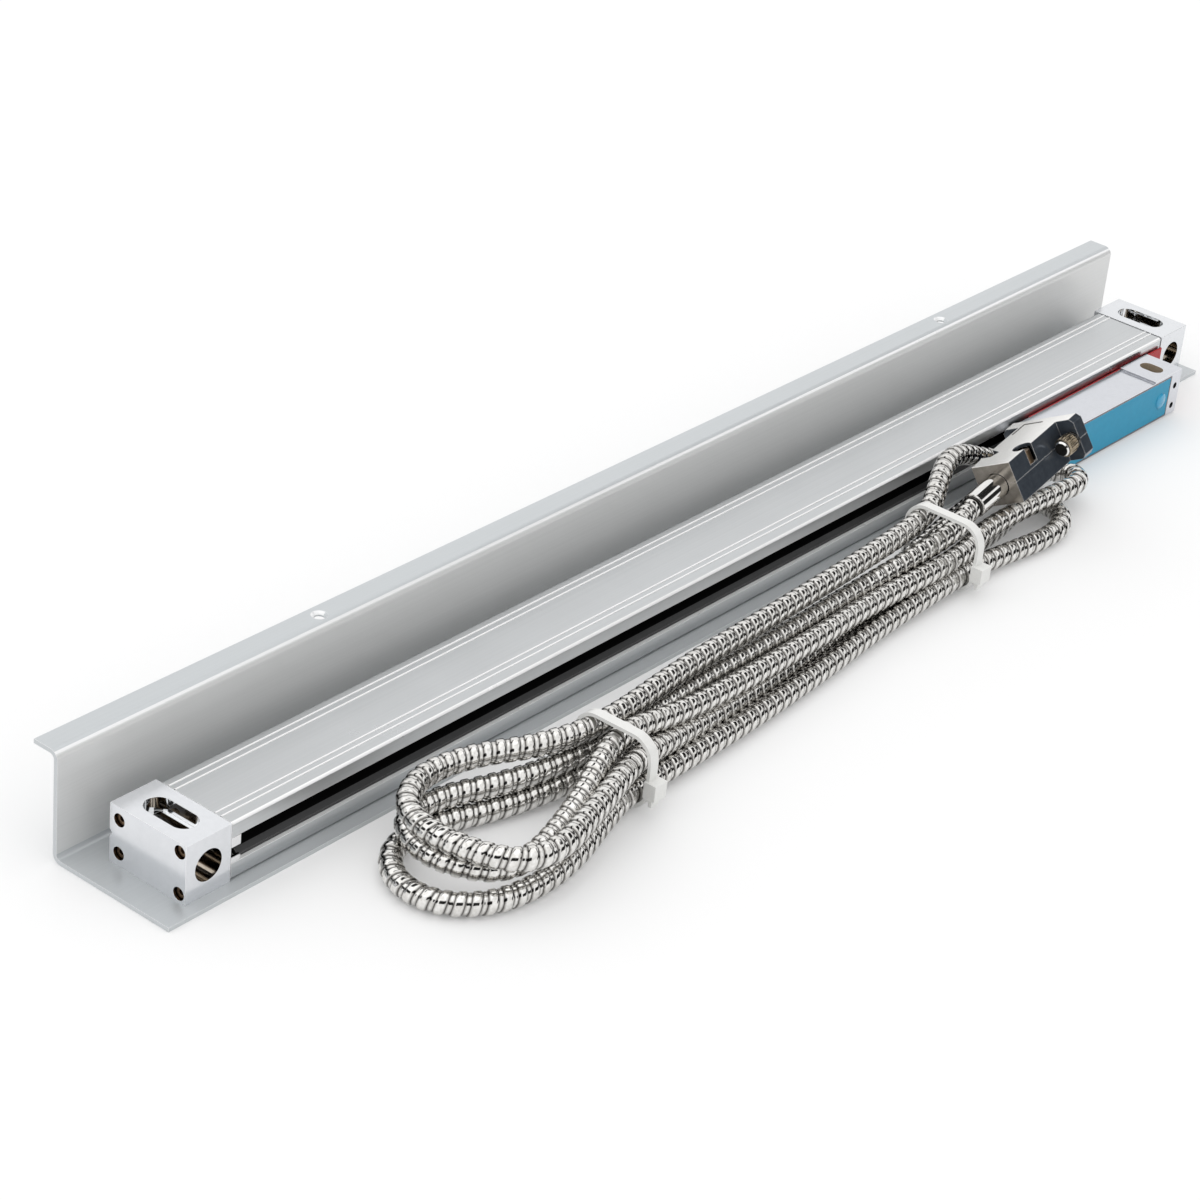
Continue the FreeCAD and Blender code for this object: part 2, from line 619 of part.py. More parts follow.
def make_head():
    """The reading head: lugged block, bare label plate, spacer strip and amplifier board."""
    skirt_back = "(0 - cover_front_width - head_step_clearance)"
    step_top = "(cover_sheet + head_step_clearance)"
    outline = [
        (HEAD_FRONT, "head_rise"), (skirt_back, "head_rise"), (skirt_back, step_top), (HEAD_BACK, step_top),
        (HEAD_BACK, HEAD_TOP), (HEAD_FRONT, HEAD_TOP),
    ]
    casting = profile("head_casting", "YZ_Plane", outline, HEAD_LEFT, "head_length")
    lug = box("head_lug", f"{HEAD_RIGHT} - lug_length", HEAD_FRONT, f"{HEAD_TOP} - 1", "lug_length",
              "head_depth", "lug_height + 1")
    across = f"({HEAD_FRONT} + head_depth / 2)"
    label_left = f"({HEAD_LEFT} + label_left_inset)"
    label_length = "(head_length - label_left_inset - label_right_inset)"
    pocket_low = f"({step_top} + pocket_wall)"
    pocket_height = f"({HEAD_TOP} - pocket_wall - {pocket_low})"
    tools = [
        stadium("head_lug_hole", f"{HEAD_RIGHT} - lug_hole_inset", across, "0 - 1", "lug_hole_length",
                "lug_hole_width", f"{HEAD_TOP} + lug_height + 2"),
        box("head_label_recess", label_left, f"{HEAD_FRONT} - 1", "head_rise + label_margin", label_length,
            "label_sheet + 1", "head_height - 2 * label_margin"),
        box("head_pocket", f"{HEAD_LEFT} + pocket_inset", f"{HEAD_FRONT}", pocket_low, "pocket_length",
            "pocket_depth", pocket_height),
        rod("head_cable_bore", "X", f"{HEAD_LEFT} - 1", f"0 - gland_axis_depth", "gland_axis_height",
            "cable_radius", "pocket_inset + 2"),
        box("head_blade_slot", f"{HEAD_MIDDLE} - blade_length / 2", f"{HEAD_BACK} - blade_seat",
            f"{SLOT_MIDDLE} - blade_sheet / 2", "blade_length", "blade_seat + 1", "blade_sheet"),
    ]
    for name, height in (("low", "tap_low"), ("high", "tap_high")):
        tools.append(rod(f"head_tap_{name}", "Y", f"{HEAD_RIGHT} - tap_inset", f"{HEAD_FRONT} - 1",
                         f"head_rise + {height}", "tap_radius", "tap_depth + 1"))
    for side, sign in (("left", -1), ("right", 1)):
        tools.append(rod(f"head_blade_hole_{side}", "Z", f"{HEAD_MIDDLE} + {sign} * blade_screw_spacing / 2",
                         f"{HEAD_BACK} - blade_seat / 2", f"{step_top} - 1", "blade_screw_radius",
                         "blade_screw_height + 1"))
    keep(cut("head_block", joined("head_solid", [casting, lug]), tools), "head_block")

    plate = box("label_sheet_plate", label_left, HEAD_FRONT, "head_rise + label_margin", label_length,
                "label_sheet", "head_height - 2 * label_margin")
    bump = rod("label_bump", "Y", f"{HEAD_RIGHT} - label_bump_inset", f"{HEAD_FRONT} - label_bump_height",
               f"{HEAD_TOP} / 2 - label_bump_drop", "label_bump_radius", "label_bump_height + label_sheet / 2")
    keep(joined("label_plate", [plate, bump]), "label_plate")

    board_left = f"({HEAD_LEFT} + pocket_inset + board_margin)"
    chips = [box("amplifier_sheet", board_left, f"{HEAD_FRONT} + label_sheet", pocket_low,
                 "pocket_length - 2 * board_margin", "board_sheet", pocket_height)]
    for number in (1, 2, 3):
        chips.append(box(f"amplifier_chip_{number}",
                         f"{board_left} + {number} * chip_spacing - chip_length",
                         f"{HEAD_FRONT} + label_sheet + board_sheet",
                         f"{pocket_low} + ({pocket_height} - chip_height) / 2", "chip_length", "chip_rise",
                         "chip_height"))
    keep(joined("amplifier_board", chips), "amplifier_board")


def make_spacer():
    """The transport spacer: a strip with two legs that straddles the blade and lifts straight out."""
    start = f"({HEAD_RIGHT} + spacer_lead - spacer_length)"
    top = f"({HEAD_TOP} - spacer_top_drop)"
    foot = "(cover_sheet + head_step_clearance)"
    back = "(0 - (head_gap - spacer_sheet) / 2 - spacer_sheet)"
    outline = [
        (start, foot), (f"{start} + spacer_leg_length", foot),
        (f"{start} + spacer_leg_length", f"{top} - spacer_bar_height"),
        (f"{start} + spacer_length - spacer_leg_length", f"{top} - spacer_bar_height"),
        (f"{start} + spacer_length - spacer_leg_length", foot), (f"{start} + spacer_length", foot),
        (f"{start} + spacer_length", top), (start, top),
    ]
    strip = profile("transport_spacer", "XZ_Plane", outline, f"0 - ({back}) - spacer_sheet", "spacer_sheet")
    keep(strip, "transport_spacer")


def make_carriage():
    """The scanning carriage inside the housing, with its blade, optics and the pins of its rollers."""
    left = f"({HEAD_MIDDLE} - carriage_length / 2)"
    arm = box("carriage_arm", left, "carriage_front", CARRIAGE_LOW, "carriage_length", "carriage_depth",
              "carriage_arm_height")
    upper_left = f"({HEAD_MIDDLE} - carriage_upper_length / 2)"
    upper_low = f"({CARRIAGE_LOW} + carriage_upper_rise - carriage_upper_sheet)"
    web = box("carriage_web", upper_left, "carriage_front", CARRIAGE_LOW, "carriage_upper_length",
              "carriage_web", "carriage_upper_rise")
    upper = box("carriage_upper", upper_left, "carriage_front", upper_low, "carriage_upper_length",
                "carriage_upper_depth", "carriage_upper_sheet")
    tools = [box("carriage_blade_slot", f"{upper_left} - 1", "carriage_front - 1",
                 f"{SLOT_MIDDLE} - blade_sheet / 2", "carriage_upper_length + 2",
                 "carriage_web / 2 + 1", "blade_sheet")]
    pins = []
    for number, (offset, kind) in enumerate(roller_places(), start=1):
        x = f"({HEAD_MIDDLE} + {offset})"
        tag = f"roller_pin_{number}"
        if kind == "edge":
            shaft = rod(f"{tag}_shaft", "Z", x, EDGE_ROLLER_Y, CARRIAGE_TOP, ROLLER_PIN,
                        f"{GLASS_HIGH} + roller_pin_reach - {CARRIAGE_TOP}")
            collar = rod(f"{tag}_collar", "Z", x, EDGE_ROLLER_Y, CARRIAGE_TOP, "roller_collar_radius",
                         f"{EDGE_ROLLER_LOW} - roller_collar_gap - {CARRIAGE_TOP}")
            pins.append(joined(tag, [shaft, collar]))
        else:
            y = face_roller_y(kind)
            half = "(roller_width / 2 + roller_pocket_clearance)"
            radius = "(roller_radius + roller_pocket_clearance)"
            tools.append(box(f"roller_pocket_{number}", f"{x} - {radius}", f"{y} - {half}",
                             f"{FACE_ROLLER_Z} - {radius}", f"2 * {radius}", f"2 * {half}",
                             "carriage_arm_height"))
            pin = (x, f"{y} - {half} - roller_pin_grip", FACE_ROLLER_Z, ROLLER_PIN,
                   f"2 * ({half} + roller_pin_grip)")
            tools.append(rod(f"roller_pin_hole_{number}", "Y", *pin))
            pins.append(rod(tag, "Y", *pin))
    keep(cut("carriage_frame", joined("carriage_solid", [arm, web, upper]), tools), "carriage_frame")
    keep(group("roller_pins", pins), "roller_pins")

    blade = box("coupling_blade_sheet", f"{HEAD_MIDDLE} - blade_length / 2", f"{HEAD_BACK} - blade_seat",
                f"{SLOT_MIDDLE} - blade_sheet / 2", "blade_length",
                "blade_seat + head_gap + carriage_front - blade_clearance", "blade_sheet")
    tongue = box("coupling_blade_tongue", upper_left, "carriage_front - 1", f"{SLOT_MIDDLE} - blade_sheet / 2",
                 "carriage_upper_length", "carriage_web / 2 + 1", "blade_sheet")
    holes = []
    screws = []
    step_top = "(cover_sheet + head_step_clearance)"
    for side, sign in (("left", -1), ("right", 1)):
        x = f"{HEAD_MIDDLE} + {sign} * blade_screw_spacing / 2"
        y = f"{HEAD_BACK} - blade_seat / 2"
        holes.append(rod(f"blade_hole_{side}", "Z", x, y, f"{SLOT_MIDDLE} - blade_sheet", "blade_screw_radius",
                         "2 * blade_sheet"))
        screws.append(rod(f"blade_screw_{side}", "Z", x, y, step_top, "blade_screw_radius",
                          "blade_screw_height"))
    keep(cut("coupling_blade", joined("coupling_blade_solid", [blade, tongue]), holes), "coupling_blade")
    keep(group("blade_screws", screws), "blade_screws")

    optics_left = f"({HEAD_MIDDLE} - optics_length / 2)"
    optics_back = f"({GLASS_BACK} - glass_grip - optics_clearance)"
    optics_front = f"({optics_back} - optics_depth)"
    grating_low = f"({GLASS_LOW} - grating_gap - grating_sheet)"
    keep(box("index_grating", optics_left, optics_front, grating_low, "optics_length", "optics_depth",
             "grating_sheet"), "index_grating")
    keep(box("detector_board", optics_left, optics_front, CARRIAGE_TOP, "optics_length", "optics_depth",
             f"{grating_low} - {CARRIAGE_TOP}"), "detector_board")
    keep(box("led_module", optics_left, optics_front, f"{upper_low} - led_height", "optics_length",
             f"carriage_front + carriage_upper_depth - {optics_front}", "led_height"), "led_module")

    spring = [
        box("spring_foot", f"{HEAD_MIDDLE} - spring_width / 2", "carriage_front + carriage_web",
            f"{upper_low} - spring_sheet", "spring_width", "spring_foot", "spring_sheet"),
        box("spring_leaf", f"{HEAD_MIDDLE} - spring_width / 2", "carriage_front + carriage_web",
            CARRIAGE_TOP, "spring_width", "spring_sheet", f"{upper_low} - {CARRIAGE_TOP}"),
    ]
    keep(joined("coupling_spring", spring), "coupling_spring")


ROLLER_PIN = "(roller_bore - roller_pin_clearance)"
EDGE_ROLLER_Y = f"({GLASS_FRONT} - roller_radius - roller_contact)"
EDGE_ROLLER_LOW = f"({GLASS_LOW} + (glass_sheet - roller_width) / 2)"
FACE_ROLLER_Z = f"({GLASS_LOW} - roller_radius - roller_contact)"


def roller_places():
    """Gives each roller's place from the carriage's middle and what it runs on."""
    reach = "(carriage_length / 2 - roller_end_inset)"
    return [
        (f"0 - {reach}", "face_back"), (reach, "face_back"), ("roller_middle", "face_front"),
        (f"0 - {reach}", "edge"), (reach, "edge"),
    ]


def face_roller_y(kind):
    """Gives the distance of a face roller's middle from the blocks' front."""
    offset = "face_roller_back" if kind == "face_back" else "face_roller_front"
    return f"({GLASS_FRONT} + {offset})"


def make_rollers():
    """The five small bearings that guide the carriage: three under the glass, two on its edge."""
    for number, (offset, kind) in enumerate(roller_places(), start=1):
        x = f"({HEAD_MIDDLE} + {offset})"
        name = f"roller_{number}"
        if kind == "edge":
            place = (x, EDGE_ROLLER_Y, EDGE_ROLLER_LOW)
            axis = "Z"
            bore = (x, EDGE_ROLLER_Y, f"{EDGE_ROLLER_LOW} - 1")
        else:
            y = face_roller_y(kind)
            place = (x, f"{y} - roller_width / 2", FACE_ROLLER_Z)
            axis = "Y"
            bore = (x, f"{y} - roller_width / 2 - 1", FACE_ROLLER_Z)
        ring = rod(f"{name}_ring", axis, *place, "roller_radius", "roller_width")
        hole = rod(f"{name}_hole", axis, *bore, "roller_bore", "roller_width + 2")
        keep(cut(name, ring, [hole]), name)


def keep_on_plug(item, node):
    """Makes an object a sub-part of the plug, which is modelled along X and lies on the hank."""
    turn = Rotation(value("plug_yaw"), value("plug_pitch"), value("plug_roll"))
    item.Label = node
    item.Placement = Placement(Vector(), turn)
    at(item, f"plug_along - {ORIGIN_X}", f"plug_across - {ORIGIN_Y}", "plug_up")
    nodes.append(item)
    return item


def make_hood():
    """The two halves of the plug's hood, with ears for the thumb-screws and a clamp screw."""
    half_width = "(hood_width / 2)"
    half_ear = "(hood_ear_width / 2)"
    half_thick = "(hood_thickness / 2)"
    clamp_y = f"(hood_wall + clamp_shank_radius - {half_width})"
    shank_low = f"(hood_wall / 2 - {half_thick})"
    for name, sign in (("upper", 1), ("lower", -1)):
        low = "0" if sign > 0 else f"(0 - {half_thick})"
        body = box(f"hood_{name}_body", "0", f"0 - {half_width}", low, "hood_length", "hood_width", half_thick)
        outline = [
            (f"0 - {half_ear}", "0"), (half_ear, "0"), (half_ear, f"{sign} * ({half_thick} - hood_chamfer)"),
            (f"{half_ear} - hood_chamfer", f"{sign} * {half_thick}"),
            (f"hood_chamfer - {half_ear}", f"{sign} * {half_thick}"),
            (f"0 - {half_ear}", f"{sign} * ({half_thick} - hood_chamfer)"),
        ]
        if sign < 0:
            outline.reverse()
        ears = profile(f"hood_{name}_ears", "YZ_Plane", outline, "hood_length - hood_ear_length",
                       "hood_ear_length")
        inner_low = "0 - 1" if sign > 0 else f"0 - {half_thick} + hood_wall"
        tools = [
            box(f"hood_{name}_inside", "3 * hood_wall", f"hood_wall - {half_width}", inner_low,
                "hood_length", "hood_width - 2 * hood_wall", f"{half_thick} - hood_wall + 1"),
            rod(f"hood_{name}_throat", "X", "0 - 1", "0", "0", "ferrule_radius", "3 * hood_wall + 2"),
        ]
        for side, across in (("left", "jack_spacing / 2"), ("right", "0 - jack_spacing / 2")):
            tools.append(rod(f"hood_{name}_jack_{side}", "X", "hood_length - hood_ear_length - 1", across, "0",
                             "jack_shank_radius + jack_clearance", "hood_ear_length + 2"))
        if sign > 0:
            tools.append(rod("hood_notch", "Z", "hood_notch_place", clamp_y, "hood_wall", "hood_notch_radius",
                             half_thick))
            relief = [
                ("hood_relief_place", f"{half_width} + 1"),
                ("hood_relief_place", f"{half_width} - 0.7 * hood_relief_depth"),
                ("hood_relief_place + 0.55 * hood_relief_length", f"{half_width} - hood_relief_depth"),
                ("hood_relief_place + hood_relief_length", half_width),
                ("hood_relief_place + hood_relief_length", f"{half_width} + 1"),
            ]
            tools.append(profile("hood_relief", "XY_Plane", relief, "hood_wall", half_thick))
        hollow = cut(f"hood_{name}_hollow", joined(f"hood_{name}_solid", [body, ears]), tools)
        boss_low = "0" if sign > 0 else shank_low
        boss_height = "hood_wall" if sign > 0 else f"0 - {shank_low}"
        boss = rod(f"hood_{name}_boss", "Z", "hood_notch_place", clamp_y, boss_low,
                   "hood_wall + clamp_shank_radius", boss_height)
        hole = rod(f"hood_{name}_clamp_hole", "Z", "hood_notch_place", clamp_y, shank_low,
                   "clamp_shank_radius", "hood_thickness / 2 + hood_wall")
        keep_on_plug(cut(f"hood_{name}", joined(f"hood_{name}_bossed", [hollow, boss]), [hole]), f"hood_{name}")
    shank = rod("clamp_shank", "Z", "hood_notch_place", clamp_y, shank_low, "clamp_shank_radius",
                f"hood_wall - {shank_low}")
    head = rod("clamp_head", "Z", "hood_notch_place", clamp_y, "hood_wall", "clamp_head_radius",
               f"{half_thick} - 2 * hood_wall")
    keep_on_plug(joined("hood_clamp_screw", [shank, head]), "hood_clamp_screw")


def shell_outline(grow):
    """Gives the D-shaped outline of the plug's shell, made larger by the given amount."""
    half = f"(shell_width / 2 + {grow})"
    high = f"(shell_height / 2 + {grow})"
    taper = "(shell_height / 6)"
    return [(f"{taper} - {half}", f"0 - {high}"), (f"{half} - {taper}", f"0 - {high}"), (half, high),
            (f"0 - {half}", high)]


def pin_places():
    """Gives the nine pin places: a row of five over a row of four."""
    places = [(f"({step} * pin_pitch)", "(pin_row_spacing / 2)") for step in (-2, -1, 0, 1, 2)]
    places += [(f"({step} * pin_pitch)", "(0 - pin_row_spacing / 2)") for step in (-1.5, -0.5, 0.5, 1.5)]
    return places


def make_plug_front():
    """The plug's front: D-shaped shell with its flange, insulator, nine pins and two thumb-screws."""
    flange = box("shell_flange_sheet", "hood_length", "0 - hood_ear_width / 2 + hood_chamfer / 2",
                 "0 - hood_thickness / 2 + hood_wall", "shell_flange", "hood_ear_width - hood_chamfer",
                 "hood_thickness - 2 * hood_wall")
    skirt = profile("shell_skirt", "YZ_Plane", shell_outline("0"), "hood_length", "shell_flange + shell_length")
    hollow = profile("shell_hollow", "YZ_Plane", shell_outline("(0 - shell_wall)"), "hood_length - 1",
                     "shell_flange + shell_length + 2")
    tools = [hollow]
    for side, across in (("left", "jack_spacing / 2"), ("right", "0 - jack_spacing / 2")):
        tools.append(rod(f"shell_jack_{side}", "X", "hood_length - 1", across, "0",
                         "jack_shank_radius + jack_clearance", "shell_flange + 2"))
    keep_on_plug(cut("plug_shell", joined("plug_shell_solid", [flange, skirt]), tools), "plug_shell")

    core = profile("insulator_core", "YZ_Plane", shell_outline("(0 - shell_wall)"), "hood_length",
                   "shell_flange + shell_wall")
    holes = []
    pins = []
    for number, (y, z) in enumerate(pin_places(), start=1):
        holes.append(rod(f"insulator_hole_{number}", "X", "hood_length - 1", y, z, "pin_radius",
                         "shell_flange + shell_wall + 2"))
        pins.append(rod(f"plug_pin_{number}", "X", "hood_length", y, z, "pin_radius",
                        "shell_flange + shell_wall + pin_length"))
    keep_on_plug(cut("plug_insulator", core, holes), "plug_insulator")
    keep_on_plug(group("plug_pins", pins), "plug_pins")

    for side, across in (("left", "jack_spacing / 2"), ("right", "0 - jack_spacing / 2")):
        name = f"thumb_screw_{side}"
        head_end = "(hood_length - hood_ear_length - 2 * jack_clearance)"
        head = rod(f"{name}_head", "X", f"{head_end} - jack_head_length", across, "0", "jack_head_radius",
                   "jack_head_length")
        shank = rod(f"{name}_shank", "X", head_end, across, "0", "jack_shank_radius",
                    "2 * jack_clearance + hood_ear_length + jack_reach")
        keep_on_plug(joined(name, [head, shank]), name)


def make_ferrule():
    """The crimped sleeve between the cable and the hood."""
    sleeve = rod("ferrule_sleeve", "X", "0 - ferrule_length", "0", "0", "ferrule_radius",
                 "ferrule_length + 3 * hood_wall")
    bore = rod("ferrule_bore", "X", "0", "0", "0", "ferrule_radius - hood_wall", "3 * hood_wall + 1")
    keep_on_plug(cut("plug_ferrule", sleeve, [bore]), "plug_ferrule")


def make_gland():
    """The cable gland: hexagon against the head and a round sleeve that grips the cable."""
    axis = ("0 - gland_axis_depth", "gland_axis_height")
    outer_end = f"({HEAD_LEFT} - gland_length)"
    nut = hexagon("gland_nut", "X", f"{HEAD_LEFT} - gland_hex_length", *axis, "gland_hex_radius",
                  "gland_hex_length")
    sleeve = rod("gland_sleeve", "X", outer_end, *axis, "gland_radius", "gland_length")
    spigot = rod("gland_spigot", "X", HEAD_LEFT, *axis, "cable_radius", "gland_spigot_length")
    cable_bore = rod("gland_cable_bore", "X", f"{outer_end} - 1", *axis, "cable_radius",
                     "gland_cable_depth + 1")
    wire_bore = rod("gland_wire_bore", "X", outer_end, *axis, "gland_wire_radius",
                    "gland_length + gland_spigot_length + 1")
    keep(cut("cable_gland", joined("gland_solid", [nut, sleeve, spigot]), [cable_bore, wire_bore]), "cable_gland")


# Route of the cable from the gland to the right tie, from the datum
LEAD_ROUTE = [
    (409.0, -7.5, 12.0),
    (398.5, -7.5, 12.0),
    (386.5, -5.6, 15.6),
    (375.0, -5.0, 21.0),
    (362.0, -7.0, 24.4),
    (347.0, -13.5, 23.9),
    (331.0, -22.0, 19.8),
]
# Route of the cable from the ferrule back to the right tie
TAIL_ROUTE = [
    (353.5, -27.6, 19.3),
    (346.0, -28.3, 18.2),
    (338.5, -29.9, 17.5),
    (331.0, -32.6, 17.0),
]
# Sections of the tied hank: place along X, middle across, low edge, width and height
HANK_SECTIONS = [
    (46.5, -41.0, 0.2, 14.0, 7.0),
    (52.0, -41.0, 0.2, 31.0, 7.8),
    (57.0, -41.0, 0.2, 41.0, 9.0),
    (60.0, -41.0, 0.2, 44.0, 21.6),
    (72.0, -42.0, 0.2, 55.5, 22.2),
    (84.0, -41.7, 0.2, 57.8, 22.4),
    (100.0, -41.5, 0.2, 51.0, 22.8),
    (120.0, -43.0, 0.6, 36.0, 22.7),
    (134.0, -42.5, 1.4, 27.5, 22.6),
    (140.0, -42.5, 1.4, 27.5, 22.6),
    (185.0, -40.0, 0.3, 27.0, 23.2),
    (230.0, -37.4, 0.2, 26.0, 23.3),
    (300.0, -33.1, 1.0, 25.0, 22.5),
    (322.0, -32.0, 1.4, 28.0, 23.0),
    (328.0, -32.0, 1.4, 28.0, 23.0),
    (345.0, -30.8, 0.4, 29.0, 15.6),
    (365.0, -30.1, 0.2, 34.6, 14.4),
    (385.0, -29.2, 0.2, 36.6, 13.6),
    (395.0, -27.5, 0.2, 33.0, 13.6),
    (404.0, -26.3, 3.2, 27.8, 10.6),
    (415.0, -27.8, 4.2, 19.6, 9.6),
    (420.5, -27.8, 5.0, 9.0, 8.0),
]
RUN_SHARE = 0.45
ROUND_SHARE = 0.98


def cable_tube(name, route):
    """Makes a cable's tube along straight runs joined by tangent arcs, and checks its volume."""
    points = [Vector(*point) for point in route]
    edges = []
    radii = []
    start = points[0]
    for before, corner, after in zip(points, points[1:], points[2:]):
        coming = (corner - before).normalize()
        going = (after - corner).normalize()
        turn = coming.getAngle(going)
        share = RUN_SHARE * min((corner - before).Length, (after - corner).Length)
        radius = share / math.tan(turn / 2)
        radii.append(radius)
        arc_start = corner - coming * share
        arc_end = corner + going * share
        bisector = (going - coming).normalize()
        centre = corner + bisector * (radius / math.cos(turn / 2))
        arc_middle = centre - bisector * radius
        edges.append(Part.LineSegment(start, arc_start).toShape())
        edges.append(Part.Arc(arc_start, arc_middle, arc_end).toShape())
        start = arc_end
    edges.append(Part.LineSegment(start, points[-1]).toShape())
    path = Part.Wire(edges)
    ring = Part.Wire(Part.makeCircle(value("cable_radius"), points[0], points[1] - points[0]))
    tube = path.makePipeShell([ring], True, False)
    expected = math.pi * value("cable_radius") ** 2 * path.Length
    print(name, "length", round(path.Length, 1), "volume share", round(tube.Volume / expected, 4),
          "radii", [round(radius, 1) for radius in radii])
    item = document.addObject("Part::Feature", name)
    item.Shape = tube
    return keep(item, name)


def section_wire(x, middle, low, width, height, grow=0.0, arcs=True):
    """Makes one rounded section of the hank in a plane across X, with arcs or flats at its corners."""
    half = width / 2 + grow
    bottom = low - grow
    top = low + height + grow
    radius = min(min(half, (top - bottom) / 2) * ROUND_SHARE, value("hank_corner") + grow)
    corners = [(middle - half, bottom), (middle + half, bottom), (middle + half, top), (middle - half, top)]
    edges = []
    for index, (y, z) in enumerate(corners):
        start_angle = 180 + 90 * index
        centre = Vector(x, y + radius * (1 if y < middle else -1), z + radius * (1 if z == bottom else -1))
        angles = [math.radians(start_angle + step) for step in (0, 45, 90)]
        arc = [centre + Vector(0, math.cos(angle), math.sin(angle)) * radius for angle in angles]
        if edges:
            edges.append(Part.LineSegment(edges[-1].Vertexes[-1].Point, arc[0]).toShape())
        if arcs:
            edges.append(Part.Arc(*arc).toShape())
        else:
            edges += [Part.LineSegment(start, end).toShape() for start, end in zip(arc, arc[1:])]
    edges.append(Part.LineSegment(edges[-1].Vertexes[-1].Point, edges[0].Vertexes[0].Point).toShape())
    return Part.Wire(edges)


def make_hank():
    """The outer shape of the tied hank, and the two nylon ties round it."""
    wires = [section_wire(*section, arcs=False) for section in HANK_SECTIONS]
    hank = document.addObject("Part::Feature", "cable_hank")
    hank.Shape = Part.makeLoft(wires, True, True)
    keep(hank, "cable_hank")
    for side, place in (("left", "tie_left_place"), ("right", "tie_right_place")):
        x = value(place)
        section = min(HANK_SECTIONS, key=lambda candidate: abs(candidate[0] - x))
        _, middle, low, width, height = section
        start = x - value("tie_width") / 2
        clearance = value("tie_clearance")
        outer = section_wire(start, middle, low, width, height, clearance + value("tie_sheet"))
        inner = section_wire(start, middle, low, width, height, clearance)
        along = Vector(value("tie_width"), 0, 0)
        band = Part.Face(outer).extrude(along).cut(Part.Face(inner).extrude(along))
        head = value("tie_head")
        depth = value("tie_head_depth")
        low_corner = Vector(start - (head - value("tie_width")) / 2, middle - width / 2 - clearance - depth,
                            low + value("tie_head_rise"))
        block = Part.makeBox(head, depth, head, low_corner)
        tail = value("tie_tail")
        tail_corner = Vector(start, low_corner.y + (depth - value("tie_sheet")) / 2, low_corner.z - tail)
        stub = Part.makeBox(value("tie_width"), value("tie_sheet"), tail, tail_corner)
        tie = document.addObject("Part::Feature", f"cable_tie_{side}")
        tie.Shape = band.fuse([block, stub]).removeSplitter()
        keep(tie, f"cable_tie_{side}")


def write_parts():
    """Checks every object and writes one file for each sub-part."""
    document.recompute()
    for item in document.Objects:
        if "Invalid" in item.State or "Error" in item.State:
            raise ValueError(f"{item.Label} didn't build: {item.State}")
    for item in nodes:
        if item.Shape.isNull() or not item.Shape.isValid() or not item.Shape.Solids:
            raise ValueError(f"{item.Label} isn't a valid solid")
    os.makedirs("parts", exist_ok=True)
    for item in nodes:
        item.Shape.exportStep(f"parts/{item.Label}.step")


make_cover()
for end in ("left", "right"):
    make_end_block(end)
make_housing()
make_lips()
make_glass()
make_head()
make_spacer()
make_carriage()
make_rollers()
make_gland()
make_hood()
make_plug_front()
make_ferrule()
cable_tube("cable_lead", LEAD_ROUTE)
cable_tube("cable_tail", TAIL_ROUTE)
make_hank()
write_parts()
print(len(nodes), "sub-parts written")
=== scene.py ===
"""Linear glass scale: guard cover, sealed housing, reading head on its slide, and the armoured
cable in its tied hank. Every piece is in metres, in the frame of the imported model."""

import logging
import math
from collections.abc import Callable
from dataclasses import dataclass
from enum import Enum
from functools import partial

import bmesh
import bpy
from bmesh.types import BMesh
from bpy.types import Curve, ID, Material, Mesh, MeshPolygon, Node, NodeSocket, NodeTree, Object
from mathutils import Matrix, Vector


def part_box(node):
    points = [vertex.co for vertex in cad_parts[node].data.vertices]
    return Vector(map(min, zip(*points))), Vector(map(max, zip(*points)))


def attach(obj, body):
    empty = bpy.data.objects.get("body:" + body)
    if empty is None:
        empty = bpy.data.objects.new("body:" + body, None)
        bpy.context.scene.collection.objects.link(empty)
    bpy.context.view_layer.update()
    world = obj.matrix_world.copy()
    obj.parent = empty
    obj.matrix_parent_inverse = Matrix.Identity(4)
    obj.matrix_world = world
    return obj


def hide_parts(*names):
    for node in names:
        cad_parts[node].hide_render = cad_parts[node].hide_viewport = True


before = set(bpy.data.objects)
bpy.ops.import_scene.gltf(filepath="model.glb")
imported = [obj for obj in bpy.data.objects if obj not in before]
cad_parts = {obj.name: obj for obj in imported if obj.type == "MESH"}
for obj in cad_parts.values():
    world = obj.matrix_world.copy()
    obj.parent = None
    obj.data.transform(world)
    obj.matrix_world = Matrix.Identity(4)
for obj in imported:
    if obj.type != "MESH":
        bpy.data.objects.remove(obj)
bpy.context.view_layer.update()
LOG = logging.getLogger("linear_scale")

Triple = tuple[float, float, float]
MM = 0.001
DATUM = Vector((-0.2655, -0.017025, 0.0))
SHARP_EDGE = math.radians(30.0)
FLAT_JOINT = math.radians(0.4)
PATCH_RANGE = (0.25, 0.75)


def datum(x: float, y: float, z: float) -> Vector:
    """Place of a point that is measured from the left end block's lower corner.

    Args:
        x, y, z: millimetres along, across and above the base.

    Returns:
        The point in metres, in the part's frame.
    """
    return DATUM + Vector((x, y, z)) * MM


# Finishes

class Grain(Enum):
    """How a surface was worked, as noise scales along x, y and z, per metre."""

    DRAWN = (7.0, 1500.0, 1500.0)
    MILLED = (900.0, 260.0, 900.0)
    POLISHED = (420.0, 420.0, 420.0)
    MOULDED = (2600.0, 2600.0, 2600.0)
    TURNED = (700.0, 700.0, 700.0)


